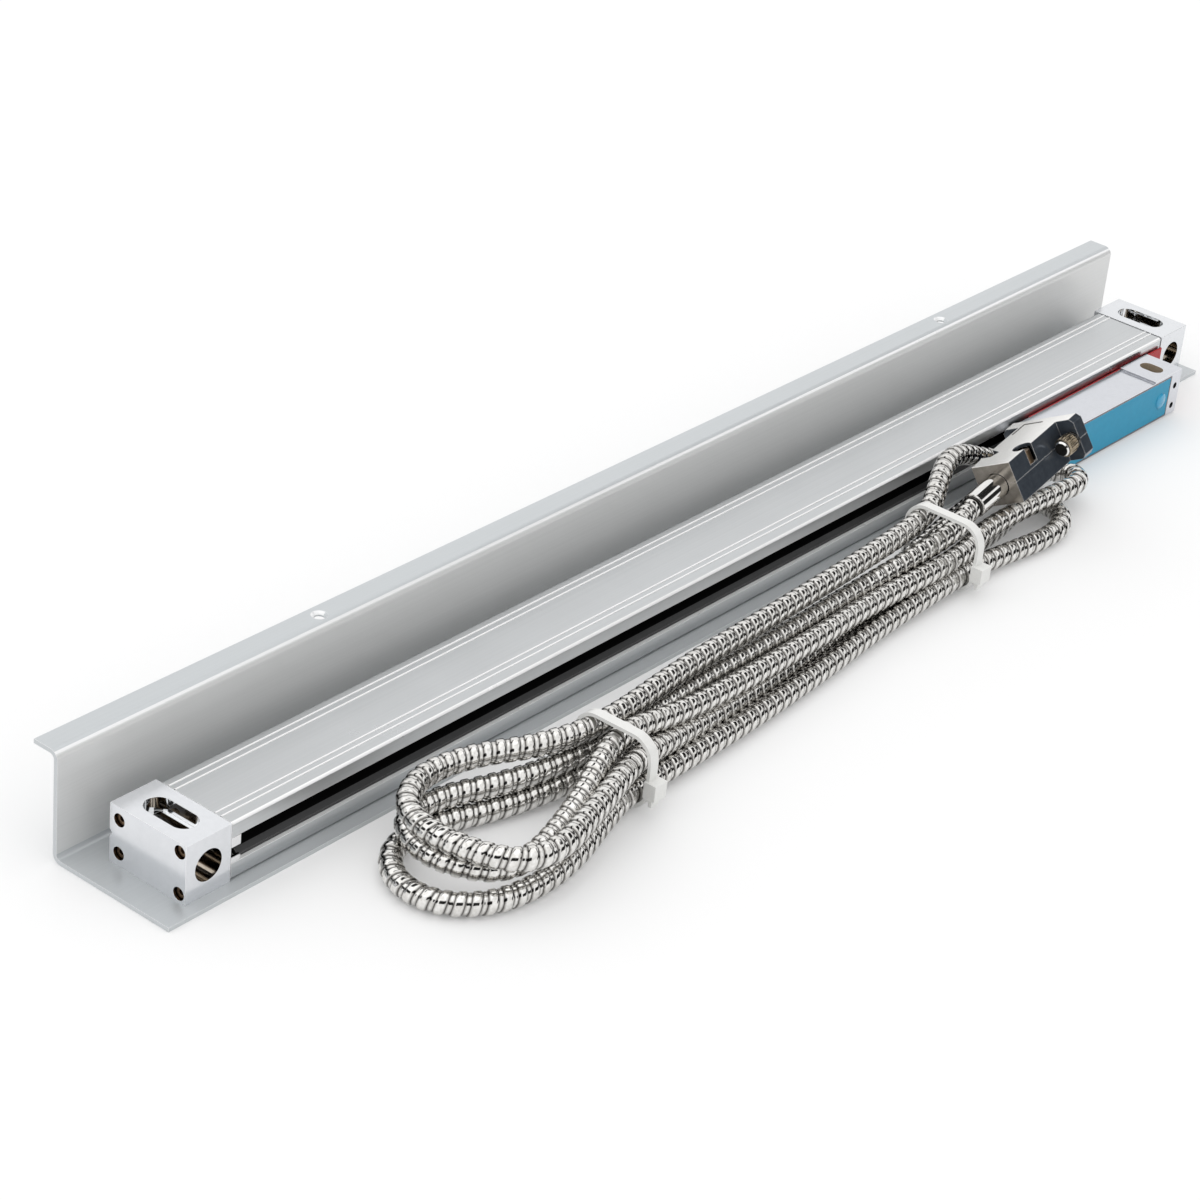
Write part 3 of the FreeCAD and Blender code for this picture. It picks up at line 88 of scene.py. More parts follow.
class Tree:
    """A node tree while it is laid out."""

    def __init__(self, tree: NodeTree) -> None:
        """Takes the tree."""
        self.tree = tree

    def node(self, kind: str, values: dict[str, object] | None = None, **settings: object) -> Node:
        """Adds a node.

        Args:
            kind: the node's type, without ShaderNode.
            values: its inputs' values, by name.
            settings: its attributes.

        Returns:
            The node.
        """
        made = self.tree.nodes.new("ShaderNode" + kind)
        for key, value in settings.items():
            setattr(made, key, value)
        for key, value in (values or {}).items():
            made.inputs[key].default_value = value
        return made

    def join(self, start: NodeSocket, end: NodeSocket) -> None:
        """Links two sockets."""
        self.tree.links.new(start, end)


class Group(Tree):
    """A node group that several materials place."""

    def __init__(self, name: str, inputs: dict[str, object], outputs: tuple[str, ...]) -> None:
        """Starts the group with its sockets.

        Args:
            name: the group's name.
            inputs: a number for each Float input and three for each Vector, by name.
            outputs: names of the Float outputs.
        """
        super().__init__(bpy.data.node_groups.new(name, "ShaderNodeTree"))
        sockets = self.tree.interface
        for key, value in inputs.items():
            kind = "NodeSocketFloat" if isinstance(value, float) else "NodeSocketVector"
            sockets.new_socket(name=key, in_out="INPUT", socket_type=kind).default_value = value
        for key in outputs:
            sockets.new_socket(name=key, in_out="OUTPUT", socket_type="NodeSocketFloat")
        self.entry = self.tree.nodes.new("NodeGroupInput").outputs
        self.leave = self.tree.nodes.new("NodeGroupOutput").inputs


def worked_surface() -> NodeTree:
    """Builds the node group of a worked surface: its grain, and broad patches of handling.

    Returns:
        The group, with outputs Tone, Patch and Height.
    """
    found = bpy.data.node_groups.get("worked_surface")
    if found:
        return found
    inputs = {"Vector": (0.0, 0.0, 0.0), "Grain": (100.0, 100.0, 100.0), "Patch Scale": 22.0}
    group = Group("worked_surface", inputs, ("Tone", "Patch", "Height"))
    stretch = group.node("VectorMath", operation="MULTIPLY")
    fine = group.node("TexNoise", {"Scale": 1.0, "Detail": 4.0, "Roughness": 0.62})
    broad = group.node("TexNoise", {"Detail": 3.0, "Distortion": 0.6})
    spread = group.node("MapRange", {"From Min": 0.3, "From Max": 0.7})
    group.join(group.entry["Vector"], stretch.inputs[0])
    group.join(group.entry["Grain"], stretch.inputs[1])
    group.join(stretch.outputs[0], fine.inputs["Vector"])
    group.join(group.entry["Vector"], broad.inputs["Vector"])
    group.join(group.entry["Patch Scale"], broad.inputs["Scale"])
    group.join(fine.outputs["Fac"], spread.inputs["Value"])
    group.join(spread.outputs["Result"], group.leave["Tone"])
    group.join(broad.outputs["Fac"], group.leave["Patch"])
    group.join(fine.outputs["Fac"], group.leave["Height"])
    return group.tree


def edge_highlight() -> NodeTree:
    """Builds the node group of the painted edge highlight, which finds edges where a rounded normal leaves
    the true one.

    Returns:
        The group, with one output, Mask.
    """
    found = bpy.data.node_groups.get("edge_highlight")
    if found:
        return found
    group = Group("edge_highlight", {"Width": 0.0003, "Amount": 0.5}, ("Mask",))
    rounded = group.node("Bevel", samples=6)
    shape = group.node("NewGeometry")
    match = group.node("VectorMath", operation="DOT_PRODUCT")
    crest = group.node("MapRange", {"From Min": 0.99, "From Max": 0.86})
    amount = group.node("Math", operation="MULTIPLY", use_clamp=True)
    group.join(group.entry["Width"], rounded.inputs["Radius"])
    group.join(rounded.outputs["Normal"], match.inputs[0])
    group.join(shape.outputs["Normal"], match.inputs[1])
    group.join(match.outputs["Value"], crest.inputs["Value"])
    group.join(crest.outputs["Result"], amount.inputs[0])
    group.join(group.entry["Amount"], amount.inputs[1])
    group.join(amount.outputs[0], group.leave["Mask"])
    return group.tree


class Sheet(Tree):
    """One material's node tree while it is laid out."""

    def __init__(self, name: str) -> None:
        """Starts the material with its shader.

        Args:
            name: the material's name.
        """
        self.material = bpy.data.materials.new(name)
        self.material.use_nodes = True
        super().__init__(self.material.node_tree)
        self.shader = self.tree.nodes["Principled BSDF"]
        self.place = self.node("TexCoord").outputs["Object"]

    def shade(self, values: dict[str, object]) -> None:
        """Sets the shader's own sockets.

        Args:
            values: their values, by name.
        """
        for key, value in values.items():
            self.shader.inputs[key].default_value = value

    def feed(self, value: NodeSocket, socket: str) -> None:
        """Joins a value to a socket of the shader."""
        self.join(value, self.shader.inputs[socket])

    def worked(self, grain: Grain, patch: float) -> Node:
        """Places the group of a worked surface.

        Args:
            grain: how the surface was worked.
            patch: scale of the patches of handling.

        Returns:
            The group's node.
        """
        made = self.node("Group", {"Grain": grain.value, "Patch Scale": patch}, node_tree=worked_surface())
        self.join(self.place, made.inputs["Vector"])
        return made

    def blend(self, factor: NodeSocket, low: object, high: object) -> NodeSocket:
        """Mixes two colours.

        Args:
            factor: socket that goes from 0 to 1.
            low, high: a colour, or a socket that gives one.

        Returns:
            The mixed colour.
        """
        mix = self.node("Mix", data_type="RGBA")
        self.join(factor, mix.inputs[0])
        for value, place in ((low, mix.inputs[6]), (high, mix.inputs[7])):
            if isinstance(value, NodeSocket):
                self.join(value, place)
            else:
                place.default_value = (*value, 1.0)
        return mix.outputs[2]

    def span(self, value: NodeSocket, low: float, high: float,
             start: float = 0.0, end: float = 1.0) -> NodeSocket:
        """Maps a value to another range.

        Args:
            value: the socket.
            low, high: the range it is given.
            start, end: the range it has.

        Returns:
            The mapped value.
        """
        ranged = self.node("MapRange", {"From Min": start, "From Max": end, "To Min": low, "To Max": high})
        self.join(value, ranged.inputs["Value"])
        return ranged.outputs["Result"]

    def relief(self, height: NodeSocket, depth: float, strength: float) -> None:
        """Turns a height into the shader's normal.

        Args:
            height: the height's socket.
            depth: its depth in metres.
            strength: the bump's strength.
        """
        bump = self.node("Bump", {"Strength": strength, "Distance": depth})
        self.join(height, bump.inputs["Height"])
        self.feed(bump.outputs["Normal"], "Normal")


@dataclass(frozen=True)
class Finish:
    """A worked metal, cast or moulded finish.

    Colours are linear. spread is how far the roughness varies, and shine the specular level of a finish that
    isn't metal.
    The edge colour is a painted highlight along the edges, edge_width its reach, and the field before edge
    its strength.
    """

    name: str
    colour: Triple
    deep: Triple
    roughness: float
    spread: float = 0.05
    grain: Grain = Grain.DRAWN
    metallic: float = 1.0
    bump: float = 0.12
    # strength of the painted highlight along the edges
    edge_shine: float = 0.5
    edge: Triple = (0.9, 0.9, 0.9)
    edge_width: float = 0.0003
    coat: float = 0.0
    shine: float = 0.5
    patch: float = 22.0
    grain_depth: float = 0.00004

    def material(self) -> Material:
        """Builds the material, or finds the one built before.

        Returns:
            The material.
        """
        found = bpy.data.materials.get(self.name)
        if found:
            return found
        sheet = Sheet(self.name)
        surface = sheet.worked(self.grain, self.patch)
        # painted highlight: edges are lightened towards the edge colour
        edge_shine = sheet.node("Group", {"Amount": self.edge_shine, "Width": self.edge_width}, node_tree=edge_highlight())
        tone = sheet.blend(surface.outputs["Tone"], self.deep, self.colour)
        sheet.feed(sheet.blend(edge_shine.outputs["Mask"], tone, self.edge), "Base Color")
        rough = sheet.span(surface.outputs["Patch"], self.roughness - self.spread,
                           self.roughness + self.spread, *PATCH_RANGE)
        sheet.feed(rough, "Roughness")
        sheet.relief(surface.outputs["Height"], self.grain_depth, self.bump)
        sheet.shade({"Metallic": self.metallic, "Coat Weight": self.coat, "Specular IOR Level": self.shine})
        return sheet.material


@dataclass(frozen=True)
class ArmourFinish:
    """Bright strip-wound armour, with painted shade in its grooves."""

    name: str = "bright_armour"
    bright: Triple = (0.9, 0.89, 0.87)
    grey: Triple = (0.66, 0.645, 0.615)
    groove_shade: Triple = (0.03, 0.025, 0.02)
    roughness: float = 0.07
    smoother: float = 0.03
    rougher: float = 0.08
    patch: float = 60.0
    grain_depth: float = 0.00003

    def material(self) -> Material:
        """Builds the armour's material, which reads the tube's attribute of painted shade in the grooves.

        Returns:
            The material.
        """
        sheet = Sheet(self.name)
        surface = sheet.worked(Grain.TURNED, self.patch)
        groove_shade = sheet.node("Attribute", attribute_name="groove_shade")
        tone = sheet.blend(surface.outputs["Tone"], self.grey, self.bright)
        # painted shade: darkens the tone in the grooves and on the rib's walls
        sheet.feed(sheet.blend(groove_shade.outputs["Fac"], tone, self.groove_shade), "Base Color")
        rough = sheet.span(surface.outputs["Patch"], self.roughness - self.smoother,
                           self.roughness + self.rougher, *PATCH_RANGE)
        sheet.feed(rough, "Roughness")
        sheet.relief(surface.outputs["Height"], self.grain_depth, 0.12)
        sheet.shade({"Metallic": 1.0})
        return sheet.material


@dataclass(frozen=True)
class GlassFinish:
    """The scale's glass with its fine bar lines."""

    name: str = "ruled_glass"
    wave_scale: float = 157.0
    bar: Triple = (0.45, 0.5, 0.46)
    clear: Triple = (0.9, 0.97, 0.93)

    def material(self) -> Material:
        """Builds the glass material.

        Returns:
            The material.
        """
        sheet = Sheet(self.name)
        lines = sheet.node("TexWave", {"Scale": self.wave_scale}, wave_type="BANDS", bands_direction="X",
                           wave_profile="SIN")
        noise = sheet.node("TexNoise", {"Scale": 60.0})
        for texture in (lines, noise):
            sheet.join(sheet.place, texture.inputs["Vector"])
        sheet.feed(sheet.blend(lines.outputs["Fac"], self.bar, self.clear), "Base Color")
        sheet.feed(sheet.span(noise.outputs["Fac"], 0.02, 0.08), "Roughness")
        sheet.relief(lines.outputs["Fac"], 0.00001, 0.1)
        sheet.shade({"Transmission Weight": 0.85, "IOR": 1.5})
        return sheet.material


@dataclass(frozen=True)
class BoardFinish:
    """Lacquered circuit board with copper tracks and solder pads."""

    name: str
    lacquer: Triple = (0.01, 0.12, 0.05)
    track: Triple = (0.03, 0.22, 0.09)
    pad: Triple = (0.75, 0.68, 0.5)
    pad_edge: tuple[float, float] = (0.22, 0.26)

    def material(self) -> Material:
        """Builds the board's material.

        Returns:
            The material.
        """
        sheet = Sheet(self.name)
        bricks = sheet.node("TexBrick", {"Scale": 420.0, "Mortar Size": 0.06})
        dots = sheet.node("TexVoronoi", {"Scale": 520.0}, feature="F1")
        for texture in (bricks, dots):
            sheet.join(sheet.place, texture.inputs["Vector"])
        tracks = sheet.blend(bricks.outputs["Fac"], self.lacquer, self.track)
        pads = sheet.span(dots.outputs["Distance"], 1.0, 0.0, *self.pad_edge)
        sheet.feed(sheet.blend(pads, tracks, self.pad), "Base Color")
        sheet.feed(sheet.span(pads, 0.35, 0.2), "Roughness")
        sheet.feed(pads, "Metallic")
        sheet.relief(bricks.outputs["Fac"], 0.00003, 0.3)
        return sheet.material


COVER = Finish("cover_aluminium", (0.575, 0.6, 0.615), (0.55, 0.575, 0.59), 0.36, 0.04, Grain.DRAWN, 0.3,
               bump=0.03, edge=(0.95, 0.95, 0.95), edge_width=0.0004)
# painted light: a lighter copy of the cover's metal for its inner wall
LIT_WALL = Finish("cover_wall_lit", (0.74, 0.745, 0.74), (0.71, 0.715, 0.71), 0.36, 0.04, Grain.DRAWN, 0.25,
              bump=0.03, edge=(0.95, 0.95, 0.95), edge_width=0.0004)
# painted highlight: a near-white copy of the cover's metal along its upper bend
BEND_HIGHLIGHT = Finish("cover_bend", (0.93, 0.935, 0.94), (0.88, 0.885, 0.89), 0.25, 0.04, Grain.DRAWN, 0.2,
              bump=0.03, edge_shine=0.0)
EXTRUSION = Finish("extruded_aluminium", (0.62, 0.635, 0.645), (0.585, 0.6, 0.61), 0.3, 0.04, Grain.DRAWN,
                   bump=0.04, edge_shine=0.9, edge=(0.95, 0.95, 0.95), edge_width=0.0003)
# painted highlight: near-white, barely metal, for the housing's ridges, ledge and shoulder and the broken
# edges of housing and head
LINE_HIGHLIGHT = Finish("highlight_line", (0.97, 0.97, 0.97), (0.93, 0.93, 0.93), 0.25, 0.04, Grain.DRAWN, 0.15,
               bump=0.02, edge_shine=0.0)
END_CAST = Finish("end_block_metal", (0.79, 0.805, 0.83), (0.75, 0.765, 0.79), 0.16, 0.05, Grain.POLISHED,
                  0.7, bump=0.02, edge_shine=0.8, edge=(0.98, 0.98, 0.98))
SLOT_WALL = Finish("slot_wall", (0.86, 0.87, 0.88), (0.8, 0.81, 0.82), 0.06, 0.02, Grain.MILLED,
                   bump=0.04, edge_shine=0.0)
BRONZE = Finish("dark_bronze", (0.2, 0.155, 0.115), (0.13, 0.1, 0.075), 0.2, 0.05, Grain.MILLED, edge_shine=0.9,
                edge=(0.6, 0.54, 0.46), edge_width=0.0002)
BORE = Finish("bored_bronze", (0.46, 0.41, 0.35), (0.3, 0.26, 0.21), 0.12, 0.04, Grain.MILLED, edge_shine=0.0)
LUG_BORE = Finish("lug_bore", (0.5, 0.42, 0.32), (0.38, 0.31, 0.23), 0.25, 0.05, Grain.MILLED, 0.25,
                  edge_shine=0.0)
SCREW = Finish("bronzed_screw", (0.2, 0.14, 0.09), (0.12, 0.08, 0.05), 0.3, 0.08, Grain.TURNED,
               edge=(0.5, 0.4, 0.3), edge_width=0.00015)
GASKET = Finish("gasket_rubber", (0.03, 0.03, 0.032), (0.015, 0.015, 0.016), 0.7, 0.1, Grain.MOULDED, 0.0,
                edge_shine=0.1)
# painted shade: a near-black copy of the lip rubber, without specular, for the upper lip and the lower lip's
# upper part
LIP_SHADE = Finish("lip_rubber", (0.004, 0.004, 0.004), (0.003, 0.003, 0.003), 0.4, 0.08, Grain.DRAWN, 0.0,
             edge_shine=0.1, edge=(0.1, 0.1, 0.1), edge_width=0.0002, shine=0.0)
LIP_LOW = Finish("lower_lip_rubber", (0.05, 0.051, 0.052), (0.038, 0.039, 0.04), 0.34, 0.08, Grain.DRAWN,
                 0.0, edge_shine=0.9, edge=(0.4, 0.4, 0.4), edge_width=0.0004, shine=0.3)
CLIP = Finish("clip_steel", (0.86, 0.86, 0.87), (0.8, 0.8, 0.81), 0.15, 0.05, Grain.MILLED,
              edge=(0.97, 0.97, 0.97))
BEDDING = Finish("bedding_resin", (0.55, 0.5, 0.42), (0.42, 0.38, 0.32), 0.55, 0.1, Grain.MOULDED, 0.0)
HEAD_CAST = Finish("head_metal", (0.7, 0.715, 0.755), (0.67, 0.685, 0.725), 0.2, 0.05, Grain.POLISHED,
                   bump=0.02, edge_shine=0.8, edge=(0.95, 0.95, 0.96))
LABEL = Finish("label_blue", (0.018, 0.29, 0.465), (0.015, 0.265, 0.43), 0.36, 0.05, Grain.POLISHED, 0.0,
               bump=0.04, edge_shine=0.6, edge=(0.2, 0.52, 0.68), edge_width=0.0002, shine=0.22)
LABEL_DOME = Finish("label_dome", (0.03, 0.34, 0.56), (0.025, 0.31, 0.52), 0.16, 0.04, Grain.POLISHED,
                    0.0, bump=0.02, edge_shine=0.0, coat=0.6)
LABEL_RIM = Finish("label_rim", (0.16, 0.14, 0.15), (0.1, 0.09, 0.1), 0.2, 0.05, Grain.POLISHED,
                   edge=(0.8, 0.78, 0.78))
CARRIAGE = Finish("carriage_metal", (0.62, 0.63, 0.65), (0.5, 0.51, 0.53), 0.32, 0.06, Grain.MILLED)
BLADE = Finish("blade_steel", (0.7, 0.7, 0.71), (0.58, 0.58, 0.6), 0.2, 0.05, Grain.MILLED)
ROLLER = Finish("roller_steel", (0.66, 0.66, 0.68), (0.5, 0.5, 0.52), 0.16, 0.05, Grain.TURNED)
LED_CASE = Finish("led_case", (0.08, 0.08, 0.085), (0.04, 0.04, 0.045), 0.4, 0.08, Grain.MOULDED, 0.0)
SPACER = Finish("spacer_red", (0.46, 0.02, 0.026), (0.38, 0.016, 0.02), 0.42, 0.07, Grain.MOULDED, 0.0,
                edge_shine=0.3, edge=(0.85, 0.3, 0.3), shine=0.3)
NYLON = Finish("tie_nylon", (0.8, 0.8, 0.78), (0.74, 0.74, 0.72), 0.3, 0.06, Grain.MOULDED, 0.0,
               bump=0.08, edge_shine=0.3, edge=(0.95, 0.95, 0.94), shine=0.5)
HOOD = Finish("hood_plate", (0.9, 0.89, 0.87), (0.85, 0.84, 0.82), 0.14, 0.04, Grain.POLISHED, 0.7,
              bump=0.03, edge_shine=0.8, edge=(0.98, 0.98, 0.97), edge_width=0.0003)
# painted shade: darker copies of the hood's metal, a painted dark reflection on the flanks and painted shade
# on the cable end
HOOD_FLANK_SHADE = Finish("hood_flank_shade", (0.085, 0.1, 0.12), (0.06, 0.072, 0.09), 0.16, 0.05, Grain.POLISHED, 0.5,
                   bump=0.04, edge_shine=1.0, edge=(0.9, 0.89, 0.87), edge_width=0.0004)
HOOD_END_SHADE = Finish("hood_end_shade", (0.36, 0.33, 0.29), (0.26, 0.235, 0.205), 0.18, 0.05, Grain.POLISHED, 0.6,
                  bump=0.04, edge_shine=0.9, edge=(0.85, 0.8, 0.74), edge_width=0.0004)
PLUG_BLACK = Finish("plug_black", (0.03, 0.03, 0.032), (0.02, 0.02, 0.022), 0.35, 0.08, Grain.MOULDED,
                    0.0)
CONTACT = Finish("gilt_contact", (0.85, 0.62, 0.26), (0.7, 0.5, 0.2), 0.2, 0.05, Grain.TURNED)
GILT_SCREW = Finish("knurled_brass", (0.5, 0.42, 0.31), (0.3, 0.24, 0.16), 0.2, 0.06, Grain.TURNED,
                    edge_shine=0.8, edge=(0.92, 0.87, 0.78), edge_width=0.0002)
CAP_DARK = Finish("cap_black", (0.03, 0.027, 0.024), (0.015, 0.014, 0.013), 0.22, 0.06, Grain.TURNED, 0.6,
                  edge_shine=0.9, edge=(0.7, 0.68, 0.64), edge_width=0.0002)
POLISH = Finish("polished_steel", (0.86, 0.85, 0.83), (0.8, 0.79, 0.77), 0.07, 0.03, Grain.TURNED,
                bump=0.03, edge_shine=0.3)


# Making and placing pieces

def add_object(name: str, data: ID) -> Object:
    """Makes an object at the origin and adds it to the scene.

    Args:
        name: the object's name.
        data: its mesh, curve, lamp or camera.

    Returns:
        The object.
    """
    made = bpy.data.objects.new(name, data)
    bpy.context.scene.collection.objects.link(made)
    return made


def hold(name: str, mesh: Mesh, body: str, slot: str,
         *finishes: Finish | ArmourFinish) -> Object:
    """Makes a mesh a piece of the object.

    Args:
        name: the piece's name.
        mesh: its mesh, in place in the part's frame.
        body: the CAD body that it rides on.
        slot: the name of a material slot; it is not used.
        finishes: its finishes, in the order of the faces' indices.

    Returns:
        The piece.
    """
    piece = add_object(name, mesh)
    for finish in finishes:
        mesh.materials.append(finish.material())
    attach(piece, body)
    return piece


def close_mesh(bm: BMesh, name: str, smooth: bool = True) -> Mesh:
    """Merges doubles, turns the faces outwards and writes the mesh.

    Args:
        bm: the bmesh, freed here.
        name: the mesh's name.
        smooth: smooth shading.

    Returns:
        The mesh.
    """
    bmesh.ops.remove_doubles(bm, verts=bm.verts, dist=1e-6)
    bmesh.ops.recalc_face_normals(bm, faces=bm.faces)
    mesh = bpy.data.meshes.new(name)
    for face in bm.faces:
        face.smooth = smooth
    bm.to_mesh(mesh)
    bm.free()
    return mesh


def soften(piece: Object, width: float, segments: int = 2, index: int = -1) -> None:
    """Breaks a piece's edges with a live bevel.

    Args:
        piece: the piece.
        width: the bevel's width in metres.
        segments: its segments.
        index: the material of the broken edges, or -1 for that of the faces beside them.
    """
    bevel = piece.modifiers.new("broken_edges", "BEVEL")
    bevel.width = width
    bevel.segments = segments
    bevel.limit_method = "ANGLE"
    bevel.angle_limit = SHARP_EDGE
    bevel.harden_normals = True
    bevel.material = index
    bevel.use_clamp_overlap = True
    weigh = piece.modifiers.new("flat_faces", "WEIGHTED_NORMAL")
    weigh.keep_sharp = True


def recut(node: str, name: str, body: str, slot: str, finish: Finish, width: float = 0.0002,
          segments: int = 2, edge_index: int = -1) -> Object:
    """Rebuilds a rigid CAD node as one merged mesh with broken edges.

    Args:
        node: the CAD node that the piece stands for.
        name: the piece's name.
        body: the body that it rides on.
        slot: its material slot.
        finish: its finish.
        width: width of the broken edges, in metres.
        segments: their segments.
        edge_index: their material, or -1 for that of the faces beside them.

    Returns:
        The piece.
    """
    bm = bmesh.new()
    bm.from_mesh(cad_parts[node].data)
    bmesh.ops.remove_doubles(bm, verts=bm.verts, dist=2e-6)
    bmesh.ops.dissolve_limit(bm, angle_limit=FLAT_JOINT, verts=bm.verts, edges=bm.edges)
    piece = hold(name, close_mesh(bm, name), body, slot, finish)
    soften(piece, width, segments, edge_index)
    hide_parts(node)
    return piece


def mark(piece: Object, finishes: tuple[Finish, ...],
         choose: Callable[[MeshPolygon], int]) -> None:
    """Gives some of a piece's faces finishes of their own.

    Args:
        piece: the piece, which has its first finish.
        finishes: its further finishes.
        choose: tells a face's finish, 0 for the first.
    """
    for finish in finishes:
        piece.data.materials.append(finish.material())
    for face in piece.data.polygons:
        face.material_index = choose(face)


def dress(node: str, finish: Finish | GlassFinish | BoardFinish) -> None:
    """Gives a carried-over CAD node its finish.

    Args:
        node: the node.
        finish: its finish.
    """
    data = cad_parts[node].data
    data.materials.clear()
    data.materials.append(finish.material())


def turned(profile: list[tuple[float, float]], centre: Vector, axis: Vector,
           steps: int = 48) -> BMesh:
    """Turns a profile about an axis, as on a lathe.

    Args:
        profile: (radius, distance along the axis) pairs, in metres.
        centre: the point that distances start from.
        axis: the axis.
        steps: steps of the full turn.

    Returns:
        The shape.
    """
    bm = bmesh.new()
    axis = axis.normalized()
    side = axis.orthogonal().normalized()
    line = [bm.verts.new(centre + axis * along + side * radius) for radius, along in profile]
    edges = [bm.edges.new(pair) for pair in zip(line, line[1:])]
    bmesh.ops.spin(bm, geom=line + edges, cent=centre, axis=axis, angle=math.tau, steps=steps, use_merge=True)
    bmesh.ops.remove_doubles(bm, verts=bm.verts, dist=1e-7)
    return bm


def drawn_mesh(curve: Curve) -> Mesh:
    """Takes the mesh that a curve draws.

    Args:
        curve: the curve.

    Returns:
        The mesh.
    """
    carrier = add_object(curve.name, curve)
    bpy.context.view_layer.update()
    mesh = bpy.data.meshes.new_from_object(carrier)
    bpy.data.objects.remove(carrier)
    return mesh


# The armoured cable

CABLE_ROUTE = (
    (0.1435, -0.0245, 0.0120), (0.1330, -0.0245, 0.0120), (0.1210, -0.0226, 0.0156),
    (0.1095, -0.0220, 0.0210), (0.0965, -0.0240, 0.0244), (0.0815, -0.0305, 0.0239),
    (0.0655, -0.0390, 0.0198), (0.0345, -0.0422, 0.0194), (-0.0255, -0.0452, 0.0195),
    (-0.0805, -0.0470, 0.0196), (-0.1235, -0.0518, 0.0196), (-0.1475, -0.0470, 0.0193),
    (-0.1675, -0.0360, 0.0190), (-0.1855, -0.0325, 0.0186), (-0.2005, -0.0390, 0.0182),
    (-0.2060, -0.0530, 0.0180), (-0.2035, -0.0700, 0.0178), (-0.1965, -0.0825, 0.0176),
    (-0.1815, -0.0845, 0.0174), (-0.1655, -0.0795, 0.0173), (-0.1515, -0.0755, 0.0172),
    (-0.1385, -0.0710, 0.0168), (-0.1235, -0.0658, 0.0145), (-0.1005, -0.0620, 0.0095),
    (-0.0755, -0.0593, 0.0065), (-0.0255, -0.0552, 0.0053), (0.0095, -0.0512, 0.0044),
    (0.0395, -0.0510, 0.0053), (0.0645, -0.0504, 0.0053), (0.0815, -0.0472, 0.0040),
    (0.0965, -0.0464, 0.0039), (0.1115, -0.0436, 0.0039), (0.1235, -0.0412, 0.0039),
    (0.1300, -0.0475, 0.0039), (0.1255, -0.0575, 0.0039), (0.1115, -0.0620, 0.0039),
    (0.0885, -0.0586, 0.0039), (0.0695, -0.0574, 0.0052), (0.0465, -0.0582, 0.0053),
    (0.0095, -0.0588, 0.0042), (-0.0255, -0.0626, 0.0039), (-0.0755, -0.0662, 0.0042),
    (-0.1155, -0.0674, 0.0052), (-0.1335, -0.0680, 0.0052), (-0.1495, -0.0720, 0.0039),
    (-0.1675, -0.0780, 0.0039), (-0.1855, -0.0805, 0.0039), (-0.2035, -0.0775, 0.0039),
    (-0.2155, -0.0660, 0.0039), (-0.2155, -0.0500, 0.0039), (-0.2035, -0.0375, 0.0039),
    (-0.1835, -0.0390, 0.0039), (-0.1675, -0.0450, 0.0039), (-0.1495, -0.0500, 0.0046),
    (-0.1235, -0.0535, 0.0053), (-0.0755, -0.0510, 0.0039), (-0.0255, -0.0472, 0.0039),
    (0.0095, -0.0434, 0.0039), (0.0345, -0.0428, 0.0044), (0.0565, -0.0415, 0.0095),
    (0.0755, -0.0385, 0.0094), (0.0955, -0.0345, 0.0084), (0.1145, -0.0318, 0.0072),
    (0.1320, -0.0316, 0.0070), (0.1425, -0.0350, 0.0074), (0.1497, -0.0440, 0.0092),
    (0.1412, -0.0532, 0.0110), (0.1245, -0.0522, 0.0116), (0.1025, -0.0506, 0.0114),
    (0.0815, -0.0504, 0.0108), (0.0595, -0.0564, 0.0114), (0.0095, -0.0546, 0.0115),
    (-0.0255, -0.0575, 0.0126), (-0.0755, -0.0592, 0.0140), (-0.1005, -0.0588, 0.0156),
    (-0.1235, -0.0583, 0.0194), (-0.1385, -0.0625, 0.0186), (-0.1525, -0.0680, 0.0150),
    (-0.1665, -0.0715, 0.0116), (-0.1815, -0.0750, 0.0101), (-0.1965, -0.0740, 0.0100),
    (-0.2045, -0.0615, 0.0100), (-0.2045, -0.0475, 0.0100), (-0.1965, -0.0355, 0.0100),
    (-0.1805, -0.0365, 0.0104), (-0.1665, -0.0430, 0.0110), (-0.1505, -0.0485, 0.0116),
    (-0.1235, -0.0510, 0.0119), (-0.0755, -0.0485, 0.0120), (-0.0255, -0.0485, 0.0120),
    (0.0095, -0.0466, 0.0116), (0.0345, -0.0486, 0.0140), (0.0655, -0.0496, 0.0170),
    (0.0730, -0.0469, 0.0175), (0.0805, -0.0453, 0.0182), (0.0880, -0.0446, 0.0193),
)


